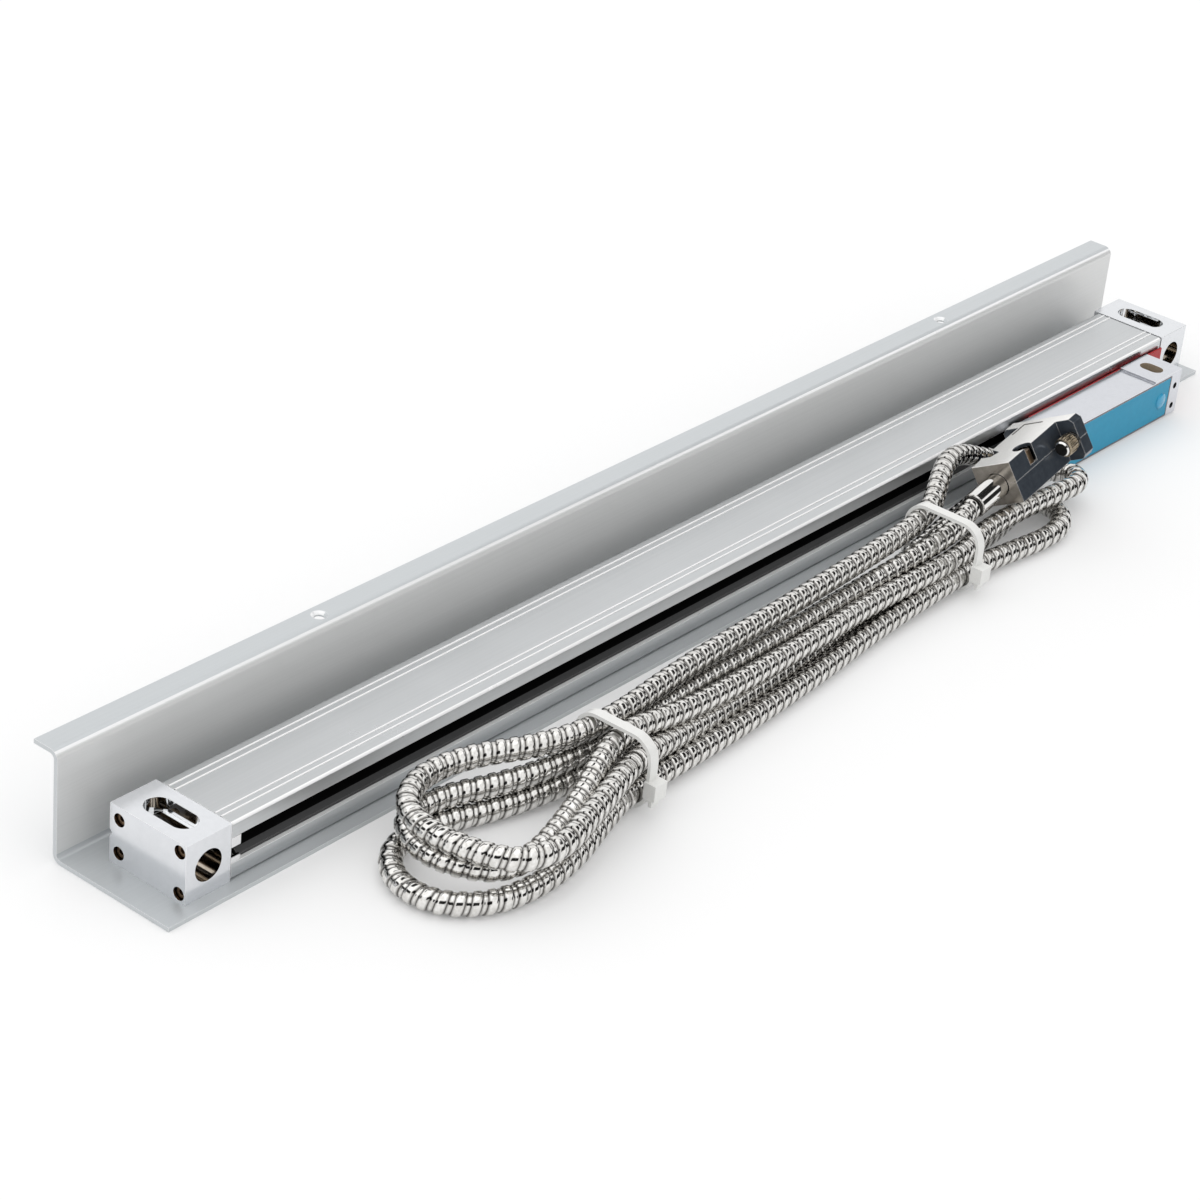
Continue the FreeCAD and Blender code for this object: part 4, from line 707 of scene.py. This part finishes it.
@dataclass
class ArmouredCable:
    """The strip-wound metal hose, from the gland through the tied hank to the ferrule."""

    diameter: float = 0.0076
    pitch: float = 0.0045
    groove_depth: float = 0.0005
    length: float = 2.17
    rings_per_pitch: int = 14
    sides_level: int = 5
    route_steps: int = 24
    rib: tuple[Triple, ...] = (
        # share of the pitch, share of the groove's depth, painted shade
        (0.0, 0.95, 1.0), (0.071, 0.1, 0.3), (0.143, 0.0, 0.0), (0.5, 0.0, 0.0), (0.571, 0.1, 0.3),
        (0.643, 0.95, 1.0), (0.714, 1.0, 0.35), (0.786, 0.8, 0.05), (0.857, 0.8, 0.05), (0.929, 1.0, 0.4),
        (1.0, 0.95, 1.0))

    def line(self) -> list[Vector]:
        """Reads the centreline from the route's NURBS spline.

        Returns:
            The spline's points.
        """
        curve = bpy.data.curves.new("cable_route", "CURVE")
        curve.dimensions = "3D"
        curve.resolution_u = self.route_steps
        spline = curve.splines.new("NURBS")
        spline.points.add(len(CABLE_ROUTE) - 1)
        for point, place in zip(spline.points, CABLE_ROUTE):
            point.co = (*place, 1.0)
        spline.order_u = 3
        spline.use_endpoint_u = True
        mesh = drawn_mesh(curve)
        points = [vert.co.copy() for vert in mesh.vertices]
        bpy.data.meshes.remove(mesh)
        return points

    def rings(self, line: list[Vector]) -> list[Vector]:
        """Steps along the centreline, a few steps to each turn of the strip.

        Args:
            line: the centreline.

        Returns:
            The rings' centres.
        """
        places = [0.0]
        for start, end in zip(line, line[1:]):
            places.append(places[-1] + (end - start).length)
        made, piece = [], 0
        step = self.pitch / self.rings_per_pitch
        for number in range(int(places[-1] / step)):
            while places[piece + 1] < number * step:
                piece += 1
            gap = (number * step - places[piece]) / (places[piece + 1] - places[piece])
            made.append(line[piece].lerp(line[piece + 1], gap))
        made.append(line[-1])
        return made

    def tube(self, rings: list[Vector]) -> Mesh:
        """Draws the plain tube through the rings.

        Args:
            rings: the rings' centres.

        Returns:
            The tube's mesh, one loop of vertices for each ring.
        """
        curve = bpy.data.curves.new("armour", "CURVE")
        curve.dimensions = "3D"
        curve.bevel_depth = self.diameter / 2
        curve.bevel_resolution = self.sides_level
        spline = curve.splines.new("POLY")
        spline.points.add(len(rings) - 1)
        for point, centre in zip(spline.points, rings):
            point.co = (*centre, 1.0)
        return drawn_mesh(curve)

    def winding(self, phase: float) -> tuple[float, float]:
        """Reads the strip's profile.

        Args:
            phase: the place in the turn, from 0 to 1.

        Returns:
            The radius there, as a share of the cable's, and its painted shade.
        """
        for (start, sunk, painted_shade), (end, next_sunk, next_painted_shade) in zip(self.rib, self.rib[1:]):
            if phase <= end:
                gap = (phase - start) / (end - start)
                depth = (sunk + (next_sunk - sunk) * gap) * self.groove_depth
                return 1.0 - depth / (self.diameter / 2), painted_shade + (next_painted_shade - painted_shade) * gap
        return 1.0, 0.0

    def wind(self, mesh: Mesh, rings: list[Vector]) -> None:
        """Presses the strip's grooves into the tube and records each point's painted shade, darkest in the
        grooves.

        Args:
            mesh: the plain tube.
            rings: its rings' centres.
        """
        sides = len(mesh.vertices) // len(rings)
        shade = mesh.attributes.new("groove_shade", "FLOAT", "POINT")
        for vert in mesh.vertices:
            ring, side = divmod(vert.index, sides)
            share, painted_shade = self.winding((ring / self.rings_per_pitch + side / sides) % 1.0)
            vert.co = rings[ring] + (vert.co - rings[ring]) * share
            shade.data[vert.index].value = painted_shade

    def build(self, with_pieces: list[Object]) -> Object:
        """Args:
            with_pieces: the plug's and the ties' pieces; it is not used.

        Returns:
            The cable.
        """
        rings = self.rings(self.line())
        mesh = self.tube(rings)
        self.wind(mesh, rings)
        bm = bmesh.new()
        bm.from_mesh(mesh)
        bmesh.ops.holes_fill(bm, edges=bm.edges, sides=0)
        bmesh.ops.recalc_face_normals(bm, faces=bm.faces)
        for face in bm.faces:
            face.smooth = True
        bm.to_mesh(mesh)
        bm.free()
        cable = hold("armoured_cable", mesh, "reading_head", "armour", ArmourFinish())
        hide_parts("cable_lead", "cable_hank", "cable_tail")
        return cable


@dataclass
class CableTies:
    """Two nylon ties round the hank."""

    edge: float = 0.00035

    def build(self) -> list[Object]:
        """Builds both ties."""
        return [recut(f"cable_tie_{side}", f"tie_{side}", "reading_head", "nylon", NYLON, self.edge, 3)
                for side in ("left", "right")]


# Cover, housing and end blocks

@dataclass
class GuardCover:
    """The folded aluminium cover behind and over the housing."""

    edge: float = 0.00025
    bend_foot: float = 0.034
    bend_slope: tuple[float, float] = (0.6, 0.85)
    wall_foot: float = 0.01

    def finish_at(self, face: MeshPolygon) -> int:
        """Tells the upper bend, which gets a painted highlight, and the inner wall, which gets a lighter copy
        of the cover's metal as painted light, from the rest.

        Args:
            face: a face of the cover.

        Returns:
            1 for the bend, 2 for the wall, or 0.
        """
        height, normal = face.center.z, face.normal
        if height > self.bend_foot and normal.y < 0.0 and self.bend_slope[0] < normal.z < self.bend_slope[1]:
            return 1
        return 2 if height > self.wall_foot and normal.y < -0.75 else 0

    def build(self) -> list[Object]:
        """Builds the cover.

        Returns:
            Its one piece.
        """
        cover = recut("cover_guard", "guard_cover", "scale_body", "cover", COVER, self.edge, 3)
        # the upper bend gets the painted highlight and the inner wall the painted lighter copy
        mark(cover, (BEND_HIGHLIGHT, LIT_WALL), self.finish_at)
        return [cover]


@dataclass
class Housing:
    """The extruded housing with its two lips and their clips."""

    edge: float = 0.00022
    lower_lip_edge: float = 0.0001
    top: float = 0.0212
    shoulder_foot: float = 0.02
    shoulder_slope: tuple[float, float] = (0.25, 0.99)
    ledge: float = 0.0074
    lip_split: float = 0.0096

    def line_at(self, face: MeshPolygon) -> int:
        """Tells the drawn ridges, the slot's ledge and the front shoulder from the rest, to give them a
        painted highlight.

        Args:
            face: a face of the housing.

        Returns:
            1 where the face has the bright finish, or 0.
        """
        height, normal = face.center.z, face.normal
        ridge = height > self.top + 0.00002
        ledge = abs(height - self.ledge) < 0.00005 and normal.z > 0.9
        steep, flat = self.shoulder_slope
        shoulder = height > self.shoulder_foot and normal.y < -0.1 and steep < normal.z < flat
        return int(ridge or ledge or shoulder)

    def lip_at(self, face: MeshPolygon) -> int:
        """Tells the lower lip's upper part, which gets the same near-black painted shade as the upper lip."""
        return int(face.center.z > self.lip_split)

    def split_lip(self, lip: Object) -> None:
        """Cuts the lower lip along its length, and gives its upper part the near-black painted shade of the
        other lip.

        Args:
            lip: the lower lip.
        """
        bm = bmesh.new()
        bm.from_mesh(lip.data)
        bmesh.ops.bisect_plane(bm, geom=bm.verts[:] + bm.edges[:] + bm.faces[:], dist=1e-6,
                               plane_co=(0.0, 0.0, self.lip_split), plane_no=(0.0, 0.0, 1.0))
        bm.to_mesh(lip.data)
        bm.free()
        mark(lip, (LIP_SHADE,), self.lip_at)

    def build(self) -> list[Object]:
        """Builds the housing, lips and clips, and dresses the scale inside.

        Returns:
            The pieces.
        """
        # the housing's broken edges and the faces that line_at picks get the painted highlight
        housing = recut("housing_extrusion", "housing", "scale_body", "extrusion", EXTRUSION, self.edge, 2, 1)
        mark(housing, (LINE_HIGHLIGHT,), self.line_at)
        lower = recut("lip_seal_lower", "lower_lip", "scale_body", "lip", LIP_LOW, self.lower_lip_edge)
        self.split_lip(lower)
        made = [housing, lower]
        # the upper lip takes the lip's painted shade
        for node, name, slot, finish in (("lip_seal_upper", "upper_lip", "lip", LIP_SHADE),
                                         ("lip_clips_left", "clips_left", "clip", CLIP),
                                         ("lip_clips_right", "clips_right", "clip", CLIP)):
            made.append(recut(node, name, "scale_body", slot, finish, self.edge))
        dress("glass_scale", GlassFinish())
        dress("glass_bedding", BEDDING)
        return made


@dataclass
class EndBlocks:
    """Both end blocks with their gaskets and screws."""

    edge: float = 0.0003
    length: float = 0.0178
    width: float = 0.031
    middle_height: float = 0.0115
    bore_radius: float = 0.0052
    slot_floor: float = 0.0055
    slot_top: float = 0.0098
    slot_half: tuple[float, float] = (0.0046, 0.0097)
    pocket_half: tuple[float, float] = (0.0033, 0.0077)
    sink_start: float = 0.01
    sink_area: float = 2.5e-6

    def finish_at(self, face: MeshPolygon, middle: Vector) -> int:
        """Tells the slot's wall, the pocket, the bore and the screw sinks from the rest.

        Args:
            face: a face of the block.
            middle: the block's middle, at the bore's height.

        Returns:
            1 for the slot's wall, 2 for the pocket and the sinks, 3 for the bore, or 0.
        """
        off, normal = face.center - middle, face.normal
        if abs(off.y) > self.width / 2 - 0.0001:
            return 0
        if math.hypot(off.x, off.z) < self.bore_radius and abs(normal.y) < 0.5:
            return 3
        in_pocket = abs(off.x) < self.pocket_half[0] and abs(off.y) < self.pocket_half[1]
        if in_pocket and off.z < self.slot_floor and abs(normal.z) <= 0.9:
            return 2
        in_slot = abs(off.x) < self.slot_half[0] and abs(off.y) < self.slot_half[1]
        if in_slot and self.slot_floor - 0.0001 < off.z < self.slot_top:
            return 1
        in_sink = abs(off.y) > self.sink_start and abs(normal.x) < 0.3 and face.area < self.sink_area
        return 2 if in_sink else 0

    def build(self) -> list[Object]:
        """Builds both ends.

        Returns:
            The pieces.
        """
        made = []
        for side in ("left", "right"):
            node = f"end_block_{side}"
            block = recut(node, f"block_{side}", "scale_body", "end_block", END_CAST, self.edge, 3)
            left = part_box(node)[0].x
            middle = Vector((left + self.length / 2, DATUM.y + self.width / 2, self.middle_height))
            mark(block, (SLOT_WALL, BRONZE, BORE), partial(self.finish_at, middle=middle))
            made += [
                block,
                recut(f"end_gasket_{side}", f"gasket_{side}", "scale_body", "gasket", GASKET, 0.00005, 1),
                recut(f"end_screws_{side}", f"screws_{side}", "scale_body", "socket_screw", SCREW),
            ]
        return made


# The reading head

@dataclass
class ReadingHead:
    """The head's casting, label plate, boards and carriage."""

    edge: float = 0.0003
    front: float = -17.05
    dome_place: tuple[float, float] = (492.4, 8.8)
    dome_radius: float = 0.0031
    dome_rise: float = 0.0009
    dome_foot: float = -0.0002
    rim_width: float = 0.0006
    rim_thickness: float = 0.0002
    lug_hole_inset: float = 0.0092
    lug_hole_half: tuple[float, float] = (0.0033, 0.0048)

    def dome(self) -> Object:
        """Turns the low dome on the label plate.

        Returns:
            The dome.
        """
        arc = [math.radians(turn) for turn in range(0, 91, 10)]
        profile = [(self.dome_radius * math.sin(turn), self.dome_rise * math.cos(turn)) for turn in arc]
        profile += [(self.dome_radius, self.dome_foot), (0.0, self.dome_foot)]
        x, z = self.dome_place
        bm = turned(profile, datum(x, self.front, z), Vector((0.0, -1.0, 0.0)))
        return hold("label_dome", close_mesh(bm, "label_dome"), "reading_head", "label_plate", LABEL_DOME)

    def rim(self) -> Object:
        """Frames the label plate with a thin line.

        Returns:
            The rim.
        """
        low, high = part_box("label_plate")
        size = Vector((high.x - low.x, high.z - low.z)) + Vector((2.0, 2.0)) * self.rim_width
        middle = Vector(((low.x + high.x) / 2, datum(0, self.front, 0).y, (low.z + high.z) / 2))
        upright = Matrix.Rotation(math.radians(90), 4, "X")
        bm = bmesh.new()
        bmesh.ops.create_grid(bm, x_segments=1, y_segments=1, size=0.5)
        bmesh.ops.transform(bm, verts=bm.verts,
                            matrix=Matrix.Translation(middle) @ upright @ Matrix.Diagonal((*size, 1.0, 1.0)))
        ring = bmesh.ops.inset_region(bm, faces=bm.faces[:], thickness=self.rim_width, use_boundary=True,
                                      use_even_offset=True)["faces"]
        inner = [face for face in bm.faces if face not in ring]
        bmesh.ops.delete(bm, geom=inner, context="FACES")
        bmesh.ops.solidify(bm, geom=bm.faces[:], thickness=self.rim_thickness)
        return hold("label_rim", close_mesh(bm, "label_rim", False), "reading_head", "label_plate", LABEL_RIM)

    def finish_at(self, face: MeshPolygon, middle: Vector) -> int:
        """Tells the wall of the lug's hole from the rest of the casting.

        Args:
            face: a face of the casting.
            middle: the hole's middle.

        Returns:
            1 for the hole's wall, or 0.
        """
        off = face.center - middle
        half_x, half_y = self.lug_hole_half
        return int(abs(off.x) < half_x and abs(off.y) < half_y and abs(face.normal.z) < 0.3)

    def build(self) -> list[Object]:
        """Builds the head and everything that slides with it inside the housing.

        Returns:
            The pieces.
        """
        # the head's broken edges get the painted highlight
        head = recut("head_block", "head", "reading_head", "head_casting", HEAD_CAST, self.edge, 3, 2)
        low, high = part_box("head_block")
        middle = Vector((high.x - self.lug_hole_inset, (low.y + high.y) / 2, 0.0))
        mark(head, (LUG_BORE, LINE_HIGHLIGHT), partial(self.finish_at, middle=middle))
        made = [head, self.dome(), self.rim()]
        for node, name, slot, finish, width in (
                ("label_plate", "label", "label_plate", LABEL, 0.0001),
                ("coupling_blade", "blade", "blade", BLADE, 0.0001),
                ("coupling_spring", "spring", "blade", BLADE, 0.00008),
                ("blade_screws", "blade_bolts", "socket_screw", SCREW, 0.00012),
                ("carriage_frame", "carriage", "carriage", CARRIAGE, 0.0002),
                ("roller_pins", "pins", "roller", ROLLER, 0.0001),
                ("led_module", "led", "led_housing", LED_CASE, 0.00012),
                ("cable_gland", "gland", "socket_screw", POLISH, 0.0002)):
            made.append(recut(node, name, "reading_head", slot, finish, width))
        made.append(recut("transport_spacer", "spacer", "transport_spacer", "spacer", SPACER, 0.00015))
        for number in range(1, 6):
            roller = f"roller_{number}"
            made.append(recut(roller, f"wheel_{number}", roller, "roller", ROLLER, 0.0001))
        dress("amplifier_board", BoardFinish("head_board"))
        dress("detector_board", BoardFinish("detector_lacquer", (0.02, 0.06, 0.16), (0.04, 0.1, 0.26)))
        dress("index_grating", GlassFinish())
        return made


# The plug

@dataclass
class Plug:
    """The connector: hood halves, jack screws, shell, contacts and ferrule."""

    place: Triple = (0.0989, -0.043825, 0.0208)
    along: Triple = (0.98819, 0.07430, 0.13399)
    across: Triple = (0.00053, 0.87285, -0.48798)
    screw_offset: float = 0.0125
    knurl_radius: float = 0.0036
    knurl_start: float = 0.0244
    knurl_end: float = 0.0324
    knurl_ridges: int = 22
    knurl_depth: float = 0.07
    # how far the ridges stop short of the knurl's start and end, and how far the dark ends reach in
    ridge_margins: tuple[float, float] = (0.0017, 0.0021)
    dark_margins: tuple[float, float] = (0.0013, 0.0017)
    ring_span: tuple[float, float] = (0.0001, 0.0008)
    # share of the knurl's radius, and distance from its start and from its end
    cap_profile: tuple[tuple[float, float], ...] = (
        (0.0, 0.0), (0.66, 0.0), (0.8, 0.0006), (0.8, 0.0012), (0.97, 0.0014), (1.0, 0.0018))
    back_profile: tuple[tuple[float, float], ...] = (
        (1.0, -0.0022), (0.96, -0.0018), (0.8, -0.0016), (0.8, -0.001), (0.92, -0.0009), (0.92, 0.0))
    thread_radius: float = 0.0014
    thread_end: float = 0.0392
    thread_chamfer: tuple[float, float] = (0.001, 0.0006)
    # share of the ferrule's radius, and distance along the plug
    ferrule_radius: float = 0.0045
    ferrule_profile: tuple[tuple[float, float], ...] = (
        (0.0, -0.0172), (0.88, -0.0172), (0.9, -0.0164), (1.0, -0.0162), (1.0, -0.011), (1.0, -0.006),
        (1.0, -0.001), (0.96, -0.0006), (0.96, 0.0042), (0.0, 0.0042))
    ferrule_ring: float = -0.0163
    flank_slope: float = 0.8
    end_reach: float = 0.005
    face_height: float = 0.00775
    # the joint line's strokes: middle along and across the plug, length and width
    joint_strokes: tuple[tuple[float, float, float, float], ...] = (
        (0.0306, 0.0069, 0.0082, 0.0005), (0.0347, 0.0029, 0.0005, 0.0083))
    joint_rise: float = 0.0003

    def point(self, x: float, y: float, z: float) -> Vector:
        """Place of a point given along, across and above the plug, in metres."""
        u, w = Vector(self.along), Vector(self.across)
        return Vector(self.place) + u * x + w * y + u.cross(w) * z

    def distance(self, face: MeshPolygon) -> float:
        """How far along the plug a face lies."""
        return (face.center - Vector(self.place)).dot(Vector(self.along))

    def knurl(self, bm: BMesh, centre: Vector, steps: int) -> None:
        """Sinks the grooves between the knurl's ridges.

        Args:
            bm: the turned screw.
            centre: a point on its axis, level with the plug's place.
            steps: steps of its full turn, four to a ridge.
        """
        u, w = Vector(self.along), Vector(self.across)
        first, last = self.knurl_start + self.ridge_margins[0], self.knurl_end - self.ridge_margins[1]
        for vert in bm.verts:
            off = vert.co - centre
            along = off.dot(u)
            if first <= along <= last:
                radial = off - u * along
                turn = math.atan2(radial.dot(u.cross(w)), radial.dot(w))
                if round(turn / math.tau * steps) % 4 in (0, 1):
                    vert.co -= radial * self.knurl_depth

    def screw_finish_at(self, face: MeshPolygon) -> int:
        """Tells a jack screw's dark cap and end, and the polished ring at its cap, from its brass.

        Args:
            face: a face of the screw.

        Returns:
            1 for the dark ends, 2 for the ring, or 0.
        """
        along = self.distance(face)
        ring_start, ring_end = self.ring_span
        if self.knurl_start + ring_start < along < self.knurl_start + ring_end:
            return 2
        front, back = self.dark_margins
        return int(along < self.knurl_start + front or along > self.knurl_end - back)

    def jack_screw(self, side: str) -> Object:
        """Turns one knurled jack screw.

        Args:
            side: left or right.

        Returns:
            The screw.
        """
        node, name = f"thumb_screw_{side}", f"jack_screw_{side}"
        centre = self.point(0.0, self.screw_offset if side == "left" else -self.screw_offset, 0.0)
        tip_radius, chamfer = self.thread_chamfer
        profile = [(self.knurl_radius * share, self.knurl_start + step) for share, step in self.cap_profile]
        profile += [(self.knurl_radius * share, self.knurl_end + step) for share, step in self.back_profile]
        profile += [(self.thread_radius, self.knurl_end), (self.thread_radius, self.thread_end - chamfer),
                    (tip_radius, self.thread_end), (0.0, self.thread_end)]
        steps = self.knurl_ridges * 4
        bm = turned(profile, centre, Vector(self.along), steps)
        self.knurl(bm, centre, steps)
        screw = hold(name, close_mesh(bm, name), node, "socket_screw", GILT_SCREW)
        mark(screw, (CAP_DARK, POLISH), self.screw_finish_at)
        soften(screw, 0.00006, 1)
        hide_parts(node)
        return screw

    def hood_finish_at(self, face: MeshPolygon) -> int:
        """Tells a hood half's flanks and its cable end, which get darker copies of its metal as painted
        shade, from its broad face.

        Args:
            face: a face of the hood.

        Returns:
            1 for a flank, 2 for the cable end, or 0.
        """
        along = Vector(self.along)
        if abs(face.normal.dot(along.cross(Vector(self.across)))) >= self.flank_slope:
            return 0
        at_end = face.normal.dot(along) < -self.flank_slope and self.distance(face) < self.end_reach
        return 2 if at_end else 1

    def hood(self, node: str, name: str) -> Object:
        """Rebuilds a hood half, with its broad face in the hood's metal and darker copies of that metal,
        painted shade, on its flanks and cable end.

        Args:
            node: the CAD node.
            name: the piece's name.

        Returns:
            The hood half.
        """
        half = recut(node, name, "reading_head", "hood", HOOD, 0.0003, 3)
        # the flanks and cable end get the painted shade
        mark(half, (HOOD_FLANK_SHADE, HOOD_END_SHADE), self.hood_finish_at)
        return half

    def scored_line(self) -> Object:
        """Lays the dark line of the joint that shows on the hood's broad face.

        Returns:
            The line.
        """
        u, w = Vector(self.along), Vector(self.across)
        turn = Matrix((u, w, u.cross(w))).transposed().to_4x4()
        bm = bmesh.new()
        for x, y, length, width in self.joint_strokes:
            size = Matrix.Diagonal((length, width, self.joint_rise, 1.0))
            matrix = Matrix.Translation(self.point(x, y, self.face_height)) @ turn @ size
            bmesh.ops.create_cube(bm, size=1.0, matrix=matrix)
        return hold("hood_joint", close_mesh(bm, "hood_joint", False), "reading_head", "hood", CAP_DARK)

    def ferrule_finish_at(self, face: MeshPolygon) -> int:
        """Tells the ferrule's dark outer ring from its polished body."""
        return int(self.distance(face) < self.ferrule_ring)

    def ferrule(self) -> Object:
        """Turns the polished ferrule behind the hood.

        Returns:
            The ferrule.
        """
        profile = [(self.ferrule_radius * share, along) for share, along in self.ferrule_profile]
        bm = turned(profile, Vector(self.place), Vector(self.along), 64)
        piece = hold("ferrule", close_mesh(bm, "ferrule"), "reading_head", "socket_screw", POLISH)
        mark(piece, (CAP_DARK,), self.ferrule_finish_at)
        soften(piece, 0.0001)
        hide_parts("plug_ferrule")
        return piece

    def build(self) -> list[Object]:
        """Builds the plug.

        Returns:
            Its pieces.
        """
        made = [self.hood("hood_upper", "hood_top"), self.hood("hood_lower", "hood_base"), self.scored_line()]
        for node, name, slot, finish, width in (
                ("hood_clamp_screw", "clamp_screw", "socket_screw", SCREW, 0.00015),
                ("plug_shell", "shell", "hood", POLISH, 0.0002),
                ("plug_insulator", "insulator", "plug_black", PLUG_BLACK, 0.00008),
                ("plug_pins", "pins_gilt", "contact", CONTACT, 0.00006)):
            made.append(recut(node, name, "reading_head", slot, finish, width))
        return made + [self.jack_screw("left"), self.jack_screw("right"), self.ferrule()]


# Camera, light and floor

@dataclass
class Studio:
    """A white studio: camera, floor, world, one soft lamp, and dark cards that only metal sees."""

    place: Triple = (-0.82171224, -0.57201907, 0.55275694)
    forward: Triple = (0.69471972, 0.52525701, -0.49139554)
    right: Triple = (0.64007867, -0.76311055, 0.08922772)
    down: Triple = (-0.32812163, -0.37652006, -0.86635376)
    lens: float = 101.3334
    floor_side: float = 12.0
    floor_shade: float = 0.8
    floor_lift: float = 0.12
    lamp_place: Triple = (-0.3, 0.5, 1.6)
    lamp_side: float = 3.0
    lamp_power: float = 8.0
    card_shade: float = 0.02
    cards: tuple[tuple[str, Triple, float, float], ...] = (
        # name, middle, width and height
        ("card_high", (1.04, -0.22, 1.06), 1.2, 0.42),
        ("card_low", (1.04, -1.04, 0.36), 1.9, 0.62),
        ("card_left", (-1.24, 0.84, 0.55), 0.9, 0.5),
        ("card_near", (-1.1, -0.9, 0.8), 1.6, 0.7),
        ("card_back", (0.1, 0.8, 1.3), 1.2, 0.36))

    def camera(self) -> None:
        """Sets the camera at the photograph's angle."""
        data = bpy.data.cameras.new("camera")
        data.lens = self.lens
        data.sensor_width = 36.0
        data.clip_start = 0.05
        data.clip_end = 40.0
        camera = add_object("camera", data)
        turn = Matrix((Vector(self.right), -Vector(self.down), -Vector(self.forward))).transposed().to_4x4()
        camera.matrix_world = Matrix.Translation(self.place) @ turn
        bpy.context.scene.camera = camera

    def seen(self, sheet: Sheet) -> NodeSocket:
        """Joins the camera, glossy and transmission rays into one value.

        Args:
            sheet: the material that takes it.

        Returns:
            The value, 1 for each of these rays.
        """
        path = sheet.node("LightPath").outputs
        first = sheet.node("Math", operation="MAXIMUM")
        second = sheet.node("Math", operation="MAXIMUM")
        sheet.join(path["Is Camera Ray"], first.inputs[0])
        sheet.join(path["Is Glossy Ray"], first.inputs[1])
        sheet.join(first.outputs[0], second.inputs[0])
        sheet.join(path["Is Transmission Ray"], second.inputs[1])
        return second.outputs[0]

    def panel(self, name: str, matrix: Matrix, shade: float) -> tuple[Object, Sheet]:
        """Makes a flat panel of the studio, with a plain matt material.

        Args:
            name: the panel's name.
            matrix: takes a square of side 1 to its place and size.
            shade: its grey.

        Returns:
            The panel and its material's tree.
        """
        bm = bmesh.new()
        bmesh.ops.create_grid(bm, x_segments=1, y_segments=1, size=0.5)
        bmesh.ops.transform(bm, matrix=matrix, verts=bm.verts)
        mesh = bpy.data.meshes.new(name)
        bm.to_mesh(mesh)
        bm.free()
        panel = add_object(name, mesh)
        sheet = Sheet(name)
        sheet.shade({"Base Color": (shade, shade, shade, 1.0), "Roughness": 0.9, "Specular IOR Level": 0.0})
        mesh.materials.append(sheet.material)
        return panel, sheet

    def floor(self) -> None:
        """Lays the white floor, which keeps the object's shadow."""
        size = Matrix.Diagonal((self.floor_side, self.floor_side, 1.0, 1.0))
        sheet = self.panel("floor", size, self.floor_shade)[1]
        sheet.shade({"Emission Color": (1.0, 1.0, 1.0, 1.0)})
        sheet.feed(sheet.span(self.seen(sheet), 0.0, self.floor_lift), "Emission Strength")

    def world(self) -> None:
        """Makes the world an even white."""
        world = bpy.data.worlds.new("studio")
        bpy.context.scene.world = world
        world.use_nodes = True
        back = world.node_tree.nodes["Background"]
        back.inputs["Color"].default_value = (1.0, 1.0, 1.0, 1.0)
        back.inputs["Strength"].default_value = 1.0

    def facing(self, place: Triple, front: str) -> Matrix:
        """Place and turn of something that faces the object.

        Args:
            place: where it is.
            front: the axis of its own that points at the object.

        Returns:
            The matrix.
        """
        look = (-Vector(place)).to_track_quat(front, "Y")
        return Matrix.Translation(place) @ look.to_matrix().to_4x4()

    def lamp(self) -> None:
        """Hangs the soft lamp."""
        data = bpy.data.lights.new("lamp_over", "AREA")
        data.size = self.lamp_side
        data.energy = self.lamp_power
        add_object("lamp_over", data).matrix_world = self.facing(self.lamp_place, "-Z")

    def stand_cards(self) -> None:
        """Stands the dark cards that only metal sees."""
        for name, place, width, height in self.cards:
            matrix = self.facing(place, "Z") @ Matrix.Diagonal((width, height, 1.0, 1.0))
            card = self.panel(name, matrix, self.card_shade)[0]
            card.visible_camera = False
            card.visible_diffuse = False
            card.visible_shadow = False

    def build(self) -> None:
        """Sets up the whole studio."""
        self.camera()
        self.floor()
        self.world()
        self.lamp()
        self.stand_cards()


def main() -> None:
    """Builds the scene in order."""
    logging.basicConfig(level=logging.INFO, format="%(name)s: %(message)s")
    bpy.context.scene.view_settings.view_transform = "Standard"
    Studio().build()
    plug = Plug().build()
    ties = CableTies().build()
    made = GuardCover().build() + Housing().build() + EndBlocks().build() + ReadingHead().build()
    made += plug + ties + [ArmouredCable().build(plug + ties)]


if __name__ == "__main__":
    main()
